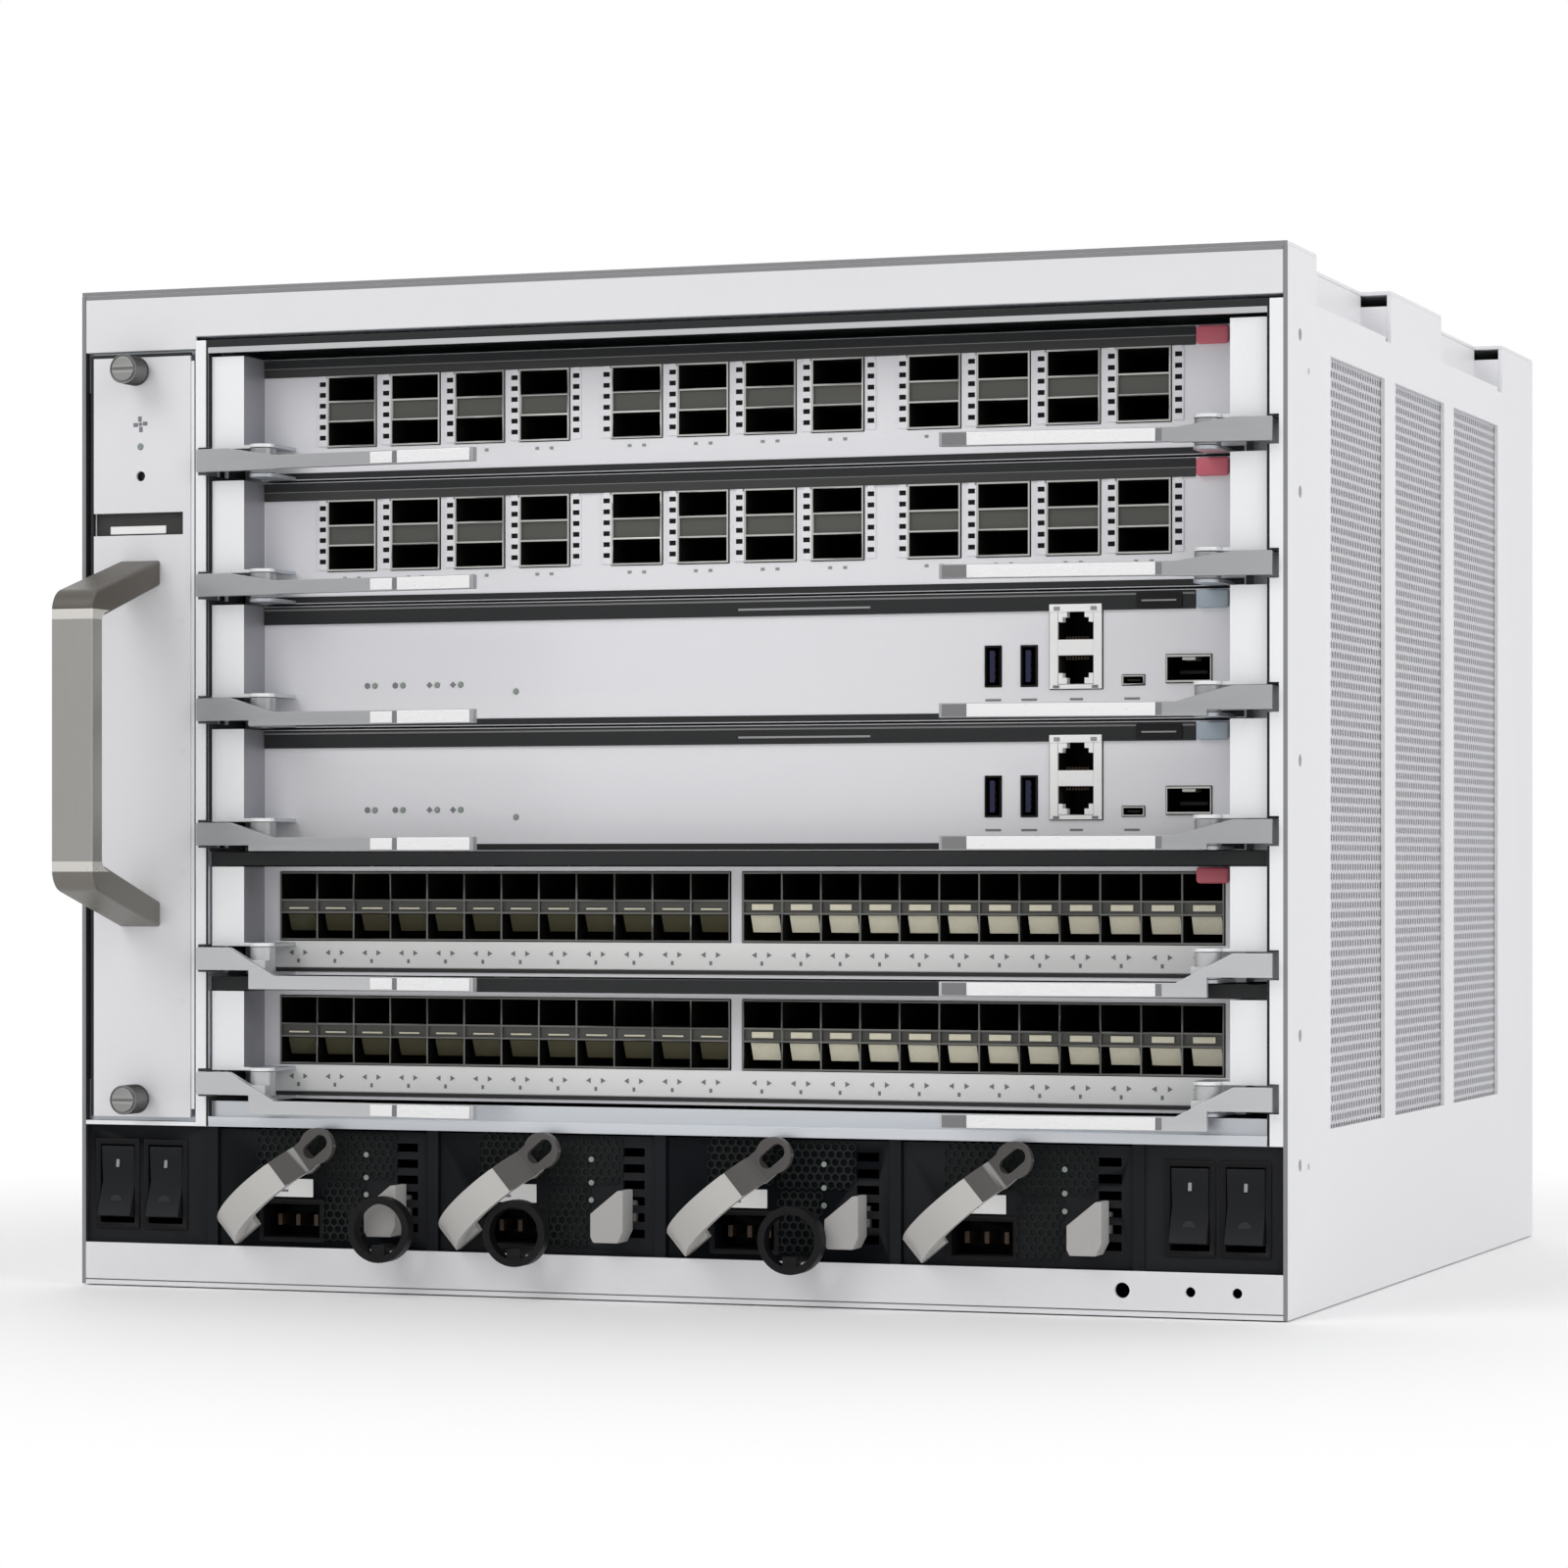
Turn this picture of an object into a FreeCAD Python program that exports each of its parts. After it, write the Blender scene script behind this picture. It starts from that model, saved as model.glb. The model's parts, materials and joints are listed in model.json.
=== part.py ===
# Modular chassis switch, eight rack units: six horizontal card slots beside a vertical fan tray,
# over a row of four power supplies between two blocks of rocker switches.
#
# Everything is drawn with X across the front, Y running back from the front face and Z up from
# the underside, in millimetres.  save() then moves the origin to the middle of the underside.
import FreeCAD, Part
import math
import os

Vector = FreeCAD.Vector

# ---- overall sizes ----
WIDTH = 442.0              # over the two side panels
DEPTH = 409.0              # front face to rear face
HEIGHT = 354.3             # eight rack units, less the gap that a rack needs

# ---- sheet and clearances ----
SKIN = 1.5                 # outer sheet and card cage
SHEET = 1.2                # sheet of the cards and power supplies
SIDE_GAP = 0.5             # card to card cage, each side
RUN = 0.2                  # height of a sliding unit above its runner
EDGE_GAP = 0.3             # round a part that passes through a cut-out
PIN_FIT = 0.05             # radial clearance on pins and shafts

# ---- front elevation, from the bottom ----
BASE_H = 15.0              # base strip
SUPPLY_BAY_H = 42.0        # clear height for the power supplies
SILL_H = 9.5               # supply bay to the underside of the lowest card
SLOTS = 6
LID_BEAM_H = 5.0           # beam over the highest card
BEZEL_H = 15.8             # bezel across the top

# ---- front elevation, from the left ----
LEFT_POST_W = 5.0
RIGHT_POST_W = 5.5

# ---- depth ----
REAR_SPACE = 33.0          # midplane face to rear face
BOARD_T = 3.0              # midplane
CONNECTOR_D = 8.0          # connector bodies on the midplane

# ---- side panels ----
VENT_FRONT = 60.0          # front face to the first vent column
VENT_REAR = 69.0           # last vent column to the rear face
VENT_RIB = 17.0            # plain rib between vent columns
VENT_COLUMNS = 3
VENT_ROWS = 24
VENT_SLOT_H = 5.0
VENT_FOOT = 3.0            # supply bay to the lowest vent
VENT_HEAD = 13.5           # highest vent to the top of the card cage
POCKET_FRONT = 40.0        # front face to the first hand pocket
POCKET_REAR = 61.0         # second hand pocket to the rear face
POCKET_L = 112.0
POCKET_D = 11.0
RELIEF = 8.0               # bend relief at the rear end of a pocket
RACK_HOLE_R = 2.1
RACK_HOLE_Y = 17.0
RACK_HOLES_Z = (50.0, 93.0, 184.0, 273.0, 325.0)

# ---- base strip ----
WRIST_JACK_R = 2.6         # socket for a wrist strap
WRIST_JACK_X = 164.7
GROUND_HOLE_R = 1.7        # two-hole ground lug
GROUND_SPACING = 15.88
GROUND_X = 196.0           # middle of the two holes
BASE_HOLE_Z = 8.5

# ---- fan tray ----
TRAY_SIDE_GAP = 2.0        # left side of the tray to the side panel
TRAY_POST_GAP = 2.0        # right side of the tray to the post
TRAY_FOOT_GAP = 1.5        # deck to the underside of the tray front
TRAY_HEAD_GAP = 4.0        # top of the tray front to the card cage top
TRAY_BODY_INSET = 14.0     # the body behind the front is lower than the front by this at each end
TRAY_REAR_GAP = 12.0       # tray body to midplane
FAN_SIZE = 119.0           # square fan
FAN_T = 38.0
FAN_BORE_R = 57.0
FAN_COLUMNS = 3
FAN_ROWS = 2
FAN_FIRST_Y = 3.0
FAN_PITCH_Y = 119.6
FAN_PITCH_Z = 119.6
HUB_R = 22.0
ROTOR_R = 55.4
SHAFT_R = 2.5
STRUT_T = 4.0
BLADES = 7
BLADE_T = 2.0
BLADE_PITCH = 38.0         # degrees
GRIP_W = 16.0              # tray handle
GRIP_T = 8.0
GRIP_REACH = 52.0
GRIP_FOOT_H = 130.5        # outside height at the tray front
GRIP_TOP_H = 102.0         # outside height at the grip
GRIP_MID_DROP = 3.0        # middle of the handle below the middle of the tray front
SCREW_INSET = 6.5          # thumbscrew to the end of the tray front
SCREW_KNOB_R = 5.2
SCREW_KNOB_L = 13.0
SCREW_R = 2.0
RECESS_DROP = 60.5         # middle of the label recess below the top of the tray front
RECESS_H = 8.0
RECESS_D = 4.0
LAMP_DROP = 33.0           # status lamp below the top of the tray front
BUTTON_DROP = 43.5         # push button hole below the top of the tray front

# ---- cards ----
FLANGE_W = 12.5            # bright flange at each end of a card
FLANGE_Y = 2.0
FACE_Y = 19.0              # faceplate, set back between the flanges
LEDGE_H = 11.6             # space for the ejector levers, under the flanges
BOX_D = 30.0               # depth of the closed end behind a flange
CARD_GAP = 0.8             # card to the card above
DENSE_DROP = 5.5           # the cards with small ports are lower by this at the front
CARD_REAR_GAP = 0.6        # card connector to midplane connector
STANDOFF_H = 2.8
STANDOFF_R = 3.0
PCB_T = 1.6
CAGE_T = 0.6               # sheet of the port cages
CAGE_PROUD = 0.5           # port cages stand out from the faceplate
CAGE_D = 56.0
RUNNER_W = 4.0
RUNNER_H = 2.8

WIDE_COLUMNS = 4           # wide ports: three groups of four columns, two rows
WIDE_GROUPS = 3
WIDE_PITCH = 24.6
WIDE_GROUP_PITCH = 108.5
WIDE_W = 17.6
WIDE_ROW_H = 8.2
WIDE_ROWS_Z = (12.0, 27.8)

SMALL_COLUMNS = 12         # small ports: two groups of twelve columns, two rows
SMALL_PITCH = 14.25
SMALL_DIVIDER = 4.5
SMALL_ROW_H = 9.0
SMALL_ROWS_Z = (LEDGE_H + 1.4, LEDGE_H + 15.4)

# control card ports: left edge from the middle of the card, width, and bottom and top heights
SOCKET_T = 0.4             # sheet of the smaller sockets
SOCKET_D = 24.0            # depth of the smaller sockets
USB_PORTS_X = (89.8, 102.5)
USB_SIZE = (5.6, 11.4, 25.0)
JACK_X = 112.7
JACK_SIZE = (18.3, 10.3, 38.2)
JACK_HOLE = (12.2, 9.6)
JACK_HOLES_Z = (11.9, 26.9)
SERIAL_X = 138.0
SERIAL_SIZE = (7.6, 11.4, 14.6)
UPLINK_X = 153.2
UPLINK_SIZE = (15.6, LEDGE_H + 0.4, LEDGE_H + 9.6)
STATUS_HOLES = ((-136.5, 14.5), (-125.7, 14.5), (-112.5, 14.5), (-103.5, 14.5), (-82.4, 11.9))

# ---- ejector levers ----
PIVOT_INSET = 20.5         # lever pivot to the side of the card cage
PIVOT_Y = 2.0
PIVOT_R = 2.0
BARREL_R = 4.5
EAR_R = 4.8
HOOK_REACH = 2.0           # hook over the post
HOOK_ROOM = 4.0            # notch in the post for the hook
HOOK_NOTCH_D = 16.0
LEVER_L = 89.0
LEVER_T = 3.0
LEVER_FRONT = 8.5          # pivot to the front of the lever
LEVER_SPLAY = 5.5          # degrees that the closed lever stands off
LEVER_H = 4.8
HEAD_Z = (2.0, LEDGE_H - 1.6)      # lever at the pivot, above the underside of the card
ARM_DROP = {"wide": 2.2, "control": 0.0, "dense": -4.6}

# ---- power supplies ----
SUPPLIES = 4
SUPPLY_PITCH = 85.0
SUPPLY_DIVIDER = 4.0
SUPPLY_FACE_Y = 3.0
SUPPLY_HEAD_GAP = 0.8
SUPPLY_REAR_GAP = 9.0
STRAP_W = 10.5
STRAP_T = 3.0
STRAP_ANGLE = 40.0         # degrees up from the foot at the lower left
STRAP_FOOT = (-31.2, 8.6)  # from the middle of the supply and from the shelf
STRAP_REACH = 17.0
RING_R = 6.3
INLET_X = -12.2
INLET_SIZE = (24.0, 14.0, 18.0)
INLET_FOOT = 2.2
TAB_X = 26.0               # middle of the release tab
TAB_SIZE = (12.0, 18.0)
TAB_FOOT = 5.0             # release tab above the shelf
TAB_TRAVEL = 3.0
TAB_STEM = 4.0
LOOP_R = 11.5              # cord retainer loop, on all but the last supply
LOOP_T = 2.5
LOOP_X = (28.5, -5.5, 10.0)

# ---- rocker switches ----
BLOCK_D = 60.0
BLOCK_WALL = 2.0
ROCKER_W = 13.0
ROCKER_H = 25.0
ROCKER_TILT = 8.0          # degrees each way
ROCKER_PIVOT_Y = 5.0
ROCKER_PIN_R = 1.5
CHEEK_T = 2.0
ROCKER_X = {"left": (-207.5, -188.5), "right": (187.5, 206.5)}

# ---- levels worked out from the sizes above ----
IN_X = WIDTH / 2 - SKIN
TRAY_W = FAN_T + SKIN
FAN_BAY_W = TRAY_SIDE_GAP + TRAY_W + TRAY_POST_GAP
CAGE_X0 = -IN_X + FAN_BAY_W + LEFT_POST_W
CAGE_X1 = IN_X - RIGHT_POST_W
CAGE_XC = (CAGE_X0 + CAGE_X1) / 2
POST_X0 = CAGE_X0 - LEFT_POST_W
MID_Y = DEPTH - REAR_SPACE
REAR_Y = DEPTH - SKIN
LID_Z = HEIGHT - SKIN
BEZEL_Z = LID_Z - BEZEL_H
CAGE_TOP = BEZEL_Z - SKIN
DECK_Z = BASE_H + SUPPLY_BAY_H
SLOT_Z = DECK_Z + SILL_H
SLOT_PITCH = (CAGE_TOP - LID_BEAM_H - SLOT_Z) / SLOTS
CARD_H = SLOT_PITCH - CARD_GAP
CARD_X0 = CAGE_X0 + SIDE_GAP
CARD_X1 = CAGE_X1 - SIDE_GAP
FACE_X0 = CARD_X0 + FLANGE_W
FACE_X1 = CARD_X1 - FLANGE_W
FACE_BACK = FACE_Y + SHEET
PIVOT_X = CAGE_X0 + PIVOT_INSET
CARD_REAR = MID_Y - CONNECTOR_D - CARD_REAR_GAP
TRAY_X0 = -IN_X + TRAY_SIDE_GAP
TRAY_X1 = TRAY_X0 + TRAY_W
TRAY_XC = (TRAY_X0 + TRAY_X1) / 2
TRAY_Z0 = DECK_Z + SKIN + TRAY_FOOT_GAP
TRAY_Z1 = CAGE_TOP - TRAY_HEAD_GAP
BODY_Z0 = TRAY_Z0 + TRAY_BODY_INSET
BODY_Z1 = TRAY_Z1 - TRAY_BODY_INSET
BODY_REAR = MID_Y - TRAY_REAR_GAP
FAN_X0 = TRAY_X0 + SKIN
FAN_X1 = FAN_X0 + FAN_T
SUPPLY_W = SUPPLY_PITCH - SUPPLY_DIVIDER - 2 * EDGE_GAP
SUPPLY_Z0 = BASE_H + RUN
SUPPLY_Z1 = DECK_Z - SUPPLY_HEAD_GAP
SUPPLY_REAR = MID_Y - SUPPLY_REAR_GAP
BANK_X = SUPPLIES * SUPPLY_PITCH / 2 + SUPPLY_DIVIDER / 2

CARD_KINDS = {1: "wide", 2: "wide", 3: "control", 4: "control", 5: "dense", 6: "dense"}


def box(x0, x1, y0, y1, z0, z1):
    """Block between two opposite corners."""
    return Part.makeBox(x1 - x0, y1 - y0, z1 - z0, Vector(x0, y0, z0))


def rod(radius, start, end):
    """Round bar from one point to another."""
    line = Vector(*end) - Vector(*start)
    return Part.makeCylinder(radius, line.Length, Vector(*start), line)


def prism(points, depth):
    """Flat outline given as 3-D points, pushed out along a vector."""
    corners = [Vector(*point) for point in points]
    outline = Part.makePolygon(corners + corners[:1])
    return Part.Face(outline).extrude(Vector(*depth))


def join(pieces):
    """One solid from pieces that meet."""
    return pieces[0].multiFuse(pieces[1:]).removeSplitter()


def cut(shape, tools):
    """Shape with every tool taken out of it."""
    return shape.cut(Part.makeCompound(tools))


def mirrored(shape, x):
    """Mirror image across the upright plane at x."""
    return shape.mirror(Vector(x, 0, 0), Vector(1, 0, 0))


def save(name, shape):
    """Write one piece, with the origin at the middle of the underside."""
    placed = shape.copy()
    placed.translate(Vector(0, -DEPTH / 2, 0))
    placed.exportStep("parts/" + name + ".step")


def slot_z(slot):
    """Underside of the card in a slot; slot 1 is the highest."""
    return SLOT_Z + (SLOTS - slot) * SLOT_PITCH


def vent_slots(x0, x1):
    """Cutters for the vent columns that the air crosses the card cage through."""
    clear = DEPTH - VENT_FRONT - VENT_REAR - (VENT_COLUMNS - 1) * VENT_RIB
    column_w = clear / VENT_COLUMNS
    foot = DECK_Z + VENT_FOOT
    pitch = (CAGE_TOP - VENT_HEAD - foot) / VENT_ROWS
    slots = []
    for column in range(VENT_COLUMNS):
        y0 = VENT_FRONT + column * (column_w + VENT_RIB)
        for row in range(VENT_ROWS):
            z0 = foot + row * pitch
            slots.append(box(x0, x1, y0, y0 + column_w, z0, z0 + VENT_SLOT_H))
    return slots


def pocket_spans():
    """Where the two hand pockets start and end, front to back."""
    second = DEPTH - POCKET_REAR - POCKET_L
    return ((POCKET_FRONT, POCKET_FRONT + POCKET_L), (second, second + POCKET_L))


# ---- chassis ----

def base_pan():
    """Floor, base strip, shelf under the power supplies and the dividers between them."""
    pieces = [
        box(-IN_X, IN_X, 0, REAR_Y, 0, SKIN),
        box(-IN_X, IN_X, 0, SKIN, 0, BASE_H),
        box(-IN_X, IN_X, 0, REAR_Y, BASE_H - SKIN, BASE_H),
    ]
    for number in range(SUPPLIES + 1):
        x = (number - SUPPLIES / 2) * SUPPLY_PITCH
        half = SUPPLY_DIVIDER / 2
        pieces.append(box(x - half, x + half, SKIN, 4 * SUPPLY_DIVIDER, BASE_H, DECK_Z))
        pieces.append(box(x - SKIN / 2, x + SKIN / 2, SKIN, SUPPLY_REAR, 0, DECK_Z))
    holes = [rod(WRIST_JACK_R, (WRIST_JACK_X, -1, BASE_HOLE_Z), (WRIST_JACK_X, SKIN + 1, BASE_HOLE_Z))]
    for side in (-1, 1):
        x = GROUND_X + side * GROUND_SPACING / 2
        holes.append(rod(GROUND_HOLE_R, (x, -1, BASE_HOLE_Z), (x, SKIN + 1, BASE_HOLE_Z)))
    return cut(join(pieces), holes)


def side_panel():
    """Right side panel with its vents, rack bracket holes and two hand pockets."""
    panel = box(IN_X, WIDTH / 2, 0, DEPTH, 0, LID_Z)
    tools = vent_slots(IN_X, WIDTH / 2)
    for z in RACK_HOLES_Z:
        tools.append(rod(RACK_HOLE_R, (IN_X - 1, RACK_HOLE_Y, z), (WIDTH / 2 + 1, RACK_HOLE_Y, z)))
    liners = []
    floor_x = WIDTH / 2 - POCKET_D
    for y0, y1 in pocket_spans():
        tools.append(box(IN_X, WIDTH / 2, y0, y1, BEZEL_Z, LID_Z))
        tools.append(box(IN_X, WIDTH / 2, y1 - RELIEF, y1, BEZEL_Z - SKIN, BEZEL_Z))
        wall = box(floor_x - SKIN, floor_x, y0, y1, BEZEL_Z, LID_Z)
        relief = box(floor_x - SKIN, floor_x, y1 - RELIEF, y1, LID_Z - RELIEF / 2, LID_Z)
        liners.append(wall.cut(relief))
        liners.append(box(floor_x - SKIN, IN_X, y0, y1 - RELIEF, BEZEL_Z - SKIN, BEZEL_Z))
        liners.append(box(floor_x - SKIN, IN_X, y0 - SKIN, y0, BEZEL_Z - SKIN, LID_Z))
        liners.append(box(floor_x - SKIN, IN_X, y1, y1 + SKIN, BEZEL_Z - SKIN, LID_Z))
    return join([cut(panel, tools)] + liners)


def top_cover():
    """Flat lid, notched over the hand pockets."""
    lid = box(-WIDTH / 2, WIDTH / 2, 0, DEPTH, LID_Z, HEIGHT)
    notches = []
    for y0, y1 in pocket_spans():
        notch = box(WIDTH / 2 - POCKET_D, WIDTH / 2, y0, y1, LID_Z, HEIGHT)
        notches += [notch, mirrored(notch, 0)]
    return cut(lid, notches)


def rear_panel():
    """Rear sheet with an exhaust grille behind each power supply."""
    sheet = box(-IN_X, IN_X, REAR_Y, DEPTH, 0, LID_Z)
    slots = []
    for number in range(SUPPLIES):
        middle = (number - (SUPPLIES - 1) / 2) * SUPPLY_PITCH
        for step in range(-4, 5):
            x = middle + step * SUPPLY_PITCH / 12
            slots.append(box(x - 1.5, x + 1.5, REAR_Y, DEPTH, BASE_H + 5, DECK_Z - 5))
    return cut(sheet, slots)


def front_bezel():
    """Bezel across the top, deeper over the fan tray."""
    flange_d = 16.0
    return join([
        box(-IN_X, IN_X, 0, SKIN, BEZEL_Z, LID_Z),
        box(-IN_X, POST_X0, 0, SKIN, TRAY_Z1 + 1.0, BEZEL_Z),
        box(-IN_X, IN_X, SKIN, flange_d, BEZEL_Z, BEZEL_Z + SKIN),
        box(-IN_X, IN_X, SKIN, flange_d, LID_Z - SKIN, LID_Z),
    ])


def hook_notches(slot):
    """Room in both posts for the lever hooks of one slot."""
    z0 = slot_z(slot) + SHEET
    z1 = slot_z(slot) + LEDGE_H - 0.6
    left = box(CAGE_X0 - HOOK_ROOM, CAGE_X0, 0, HOOK_NOTCH_D, z0, z1)
    return [left, mirrored(left, CAGE_XC)]


def fan_bay_bracket(z0, z1, screw_z):
    """Tapped plate that a thumbscrew of the fan tray screws into."""
    plate = box(-IN_X, POST_X0, 2 * SKIN, 4 * SKIN, z0, z1)
    return plate.cut(rod(SCREW_R + 2 * PIN_FIT, (TRAY_XC, 0, screw_z), (TRAY_XC, 6 * SKIN, screw_z)))


def card_cage():
    """Deck, posts, walls and roof round the cards, with their runners and the fan bay fittings."""
    floor_z = DECK_Z + SKIN
    sill = ((POST_X0, 0, floor_z), (POST_X0, 0, floor_z + 2), (POST_X0, 3, floor_z + 2),
            (POST_X0, 3, SLOT_Z - 0.5), (POST_X0, 4.5, SLOT_Z - 0.5), (POST_X0, 4.5, floor_z))
    right_wall = box(CAGE_X1, CAGE_X1 + SKIN, 0, MID_Y, floor_z, CAGE_TOP)
    left_wall = box(CAGE_X0 - SKIN, CAGE_X0, 0, MID_Y, floor_z, CAGE_TOP)
    pieces = [
        box(-IN_X, IN_X, 0, MID_Y, DECK_Z, floor_z),
        prism(sill, (IN_X - POST_X0, 0, 0)),
        cut(left_wall, vent_slots(CAGE_X0 - SKIN, CAGE_X0)),
        cut(right_wall, vent_slots(CAGE_X1, CAGE_X1 + SKIN)),
        box(POST_X0, CAGE_X0, 0, SKIN, floor_z, CAGE_TOP),
        box(POST_X0, POST_X0 + SKIN, SKIN, 20, floor_z, CAGE_TOP),
        box(CAGE_X1, IN_X, 0, SKIN, floor_z, CAGE_TOP),
        box(-IN_X, IN_X, 3 * SKIN, MID_Y, CAGE_TOP - SKIN, CAGE_TOP),
        box(POST_X0, IN_X, 0, 3 * SKIN, CAGE_TOP - SKIN, CAGE_TOP),
        box(CAGE_X0, CAGE_X1, 0, SKIN, CAGE_TOP - LID_BEAM_H + 0.4, CAGE_TOP),
        fan_bay_bracket(floor_z, BODY_Z0 - 1.0, TRAY_Z0 + SCREW_INSET),
        fan_bay_bracket(BODY_Z1 + 1.0, CAGE_TOP, TRAY_Z1 - SCREW_INSET),
    ]
    rail_y0 = 8 * SKIN
    rail_y1 = BODY_REAR - 5
    for x in (TRAY_XC - 6, TRAY_XC + 6 - SKIN):
        pieces.append(box(x, x + SKIN, rail_y0, rail_y1, floor_z, BODY_Z0 - RUN))
    pieces.append(box(TRAY_XC - 6, TRAY_XC + 6, rail_y0, rail_y1, BODY_Z0 - RUN - SKIN, BODY_Z0 - RUN))
    notches = []
    for slot in range(1, SLOTS + 1):
        top = slot_z(slot) - RUN
        rail = box(CAGE_X0, CAGE_X0 + RUNNER_W, BOX_D + 2, MID_Y - CONNECTOR_D - 2, top - RUNNER_H, top)
        pieces += [rail, mirrored(rail, CAGE_XC)]
        notches += hook_notches(slot)
        if CARD_KINDS[slot] == "dense":
            bar_z0 = slot_z(slot) + CARD_H - DENSE_DROP + CARD_GAP + 0.4
            bar_z1 = slot_z(slot) + SLOT_PITCH - 0.4
            pieces.append(box(CAGE_X0, CAGE_X1, FLANGE_Y, FLANGE_Y + SKIN, bar_z0, bar_z1))
            pieces.append(box(CAGE_X0, CAGE_X1, FLANGE_Y, FACE_Y - 4, bar_z1 - SKIN, bar_z1))
    return cut(join(pieces), notches)


def midplane():
    """Circuit board across the rear, with a connector for each card, supply and the fan tray."""
    face = MID_Y - CONNECTOR_D
    board = box(-IN_X + 0.5, IN_X - 0.5, MID_Y, MID_Y + BOARD_T, BASE_H, CAGE_TOP)
    windows = []
    pieces = []
    for number in range(SUPPLIES):
        x = (number - (SUPPLIES - 1) / 2) * SUPPLY_PITCH
        windows.append(box(x - 34, x - 14, MID_Y, MID_Y + BOARD_T, BASE_H + 8, DECK_Z - 8))
        pieces.append(box(x - 8, x + 30, face, MID_Y, BASE_H + 8, DECK_Z - 12))
    for slot in range(1, SLOTS + 1):
        z0 = slot_z(slot)
        pieces.append(box(CAGE_XC - 120, CAGE_XC + 120, face, MID_Y, z0 + 8, z0 + 26))
    pieces.append(box(TRAY_XC - 12, TRAY_XC + 12, face, MID_Y, TRAY_Z0 + 110, TRAY_Z0 + 150))
    return join([cut(board, windows)] + pieces)


# ---- rocker switches ----

def switch_block(side):
    """Moulded block with two rocker wells and the cheeks that hold the rockers."""
    x0, x1 = (-IN_X, -BANK_X) if side == "left" else (BANK_X, IN_X)
    wall = BLOCK_WALL
    front = SUPPLY_FACE_Y - 1
    middle = (BASE_H + DECK_Z) / 2
    shell = box(x0, x1, front, front + BLOCK_D, BASE_H, DECK_Z)
    tools = [box(x0 + wall, x1 - wall, front + wall, front + BLOCK_D - wall, BASE_H + wall, DECK_Z - wall)]
    cheeks = []
    half_w = ROCKER_W / 2 + EDGE_GAP
    half_h = ROCKER_H / 2 + 1.5
    for x in ROCKER_X[side]:
        tools.append(box(x - half_w, x + half_w, front, front + wall, middle - half_h, middle + half_h))
        for cheek_x in (x - half_w - CHEEK_T, x + half_w):
            cheeks.append(box(cheek_x, cheek_x + CHEEK_T, front + wall, front + 12, BASE_H + wall, DECK_Z - wall))
    block = join([cut(shell, tools)] + cheeks)
    pivot_y = front + ROCKER_PIVOT_Y
    reach = half_w + CHEEK_T
    bores = [
        rod(ROCKER_PIN_R + PIN_FIT, (x - reach, pivot_y, middle), (x + reach, pivot_y, middle))
        for x in ROCKER_X[side]
    ]
    return cut(block, bores)


def rocker(x):
    """Rocker with its two trunnions, pressed in at the top."""
    front = SUPPLY_FACE_Y - 1
    middle = (BASE_H + DECK_Z) / 2
    half_w = ROCKER_W / 2
    half_h = ROCKER_H / 2
    x0 = x - half_w
    paddle = (
        (x0, front - 2.5, middle - half_h), (x0, front, middle), (x0, front - 2.5, middle + half_h),
        (x0, front + 2.0, middle + half_h), (x0, front + 2.0, middle - half_h),
    )
    pivot_y = front + ROCKER_PIVOT_Y
    pin_reach = half_w + EDGE_GAP + CHEEK_T - 0.2
    pieces = [
        prism(paddle, (ROCKER_W, 0, 0)),
        box(x0, x + half_w, front + 1.0, pivot_y, middle - 3, middle + 3),
        rod(3.0, (x0, pivot_y, middle), (x + half_w, pivot_y, middle)),
        rod(ROCKER_PIN_R, (x - pin_reach, pivot_y, middle), (x + pin_reach, pivot_y, middle)),
    ]
    shape = join(pieces)
    shape.rotate(Vector(x, pivot_y, middle), Vector(1, 0, 0), -ROCKER_TILT)
    return shape


# ---- fan tray ----

def fan_centres():
    """Row, column and middle of every fan in the tray."""
    middle_z = (BODY_Z0 + BODY_Z1) / 2
    for row in range(FAN_ROWS):
        for column in range(FAN_COLUMNS):
            y = FAN_FIRST_Y + FAN_SIZE / 2 + column * FAN_PITCH_Y
            z = middle_z + (row - (FAN_ROWS - 1) / 2) * FAN_PITCH_Z
            yield row + 1, column + 1, y, z


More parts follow.
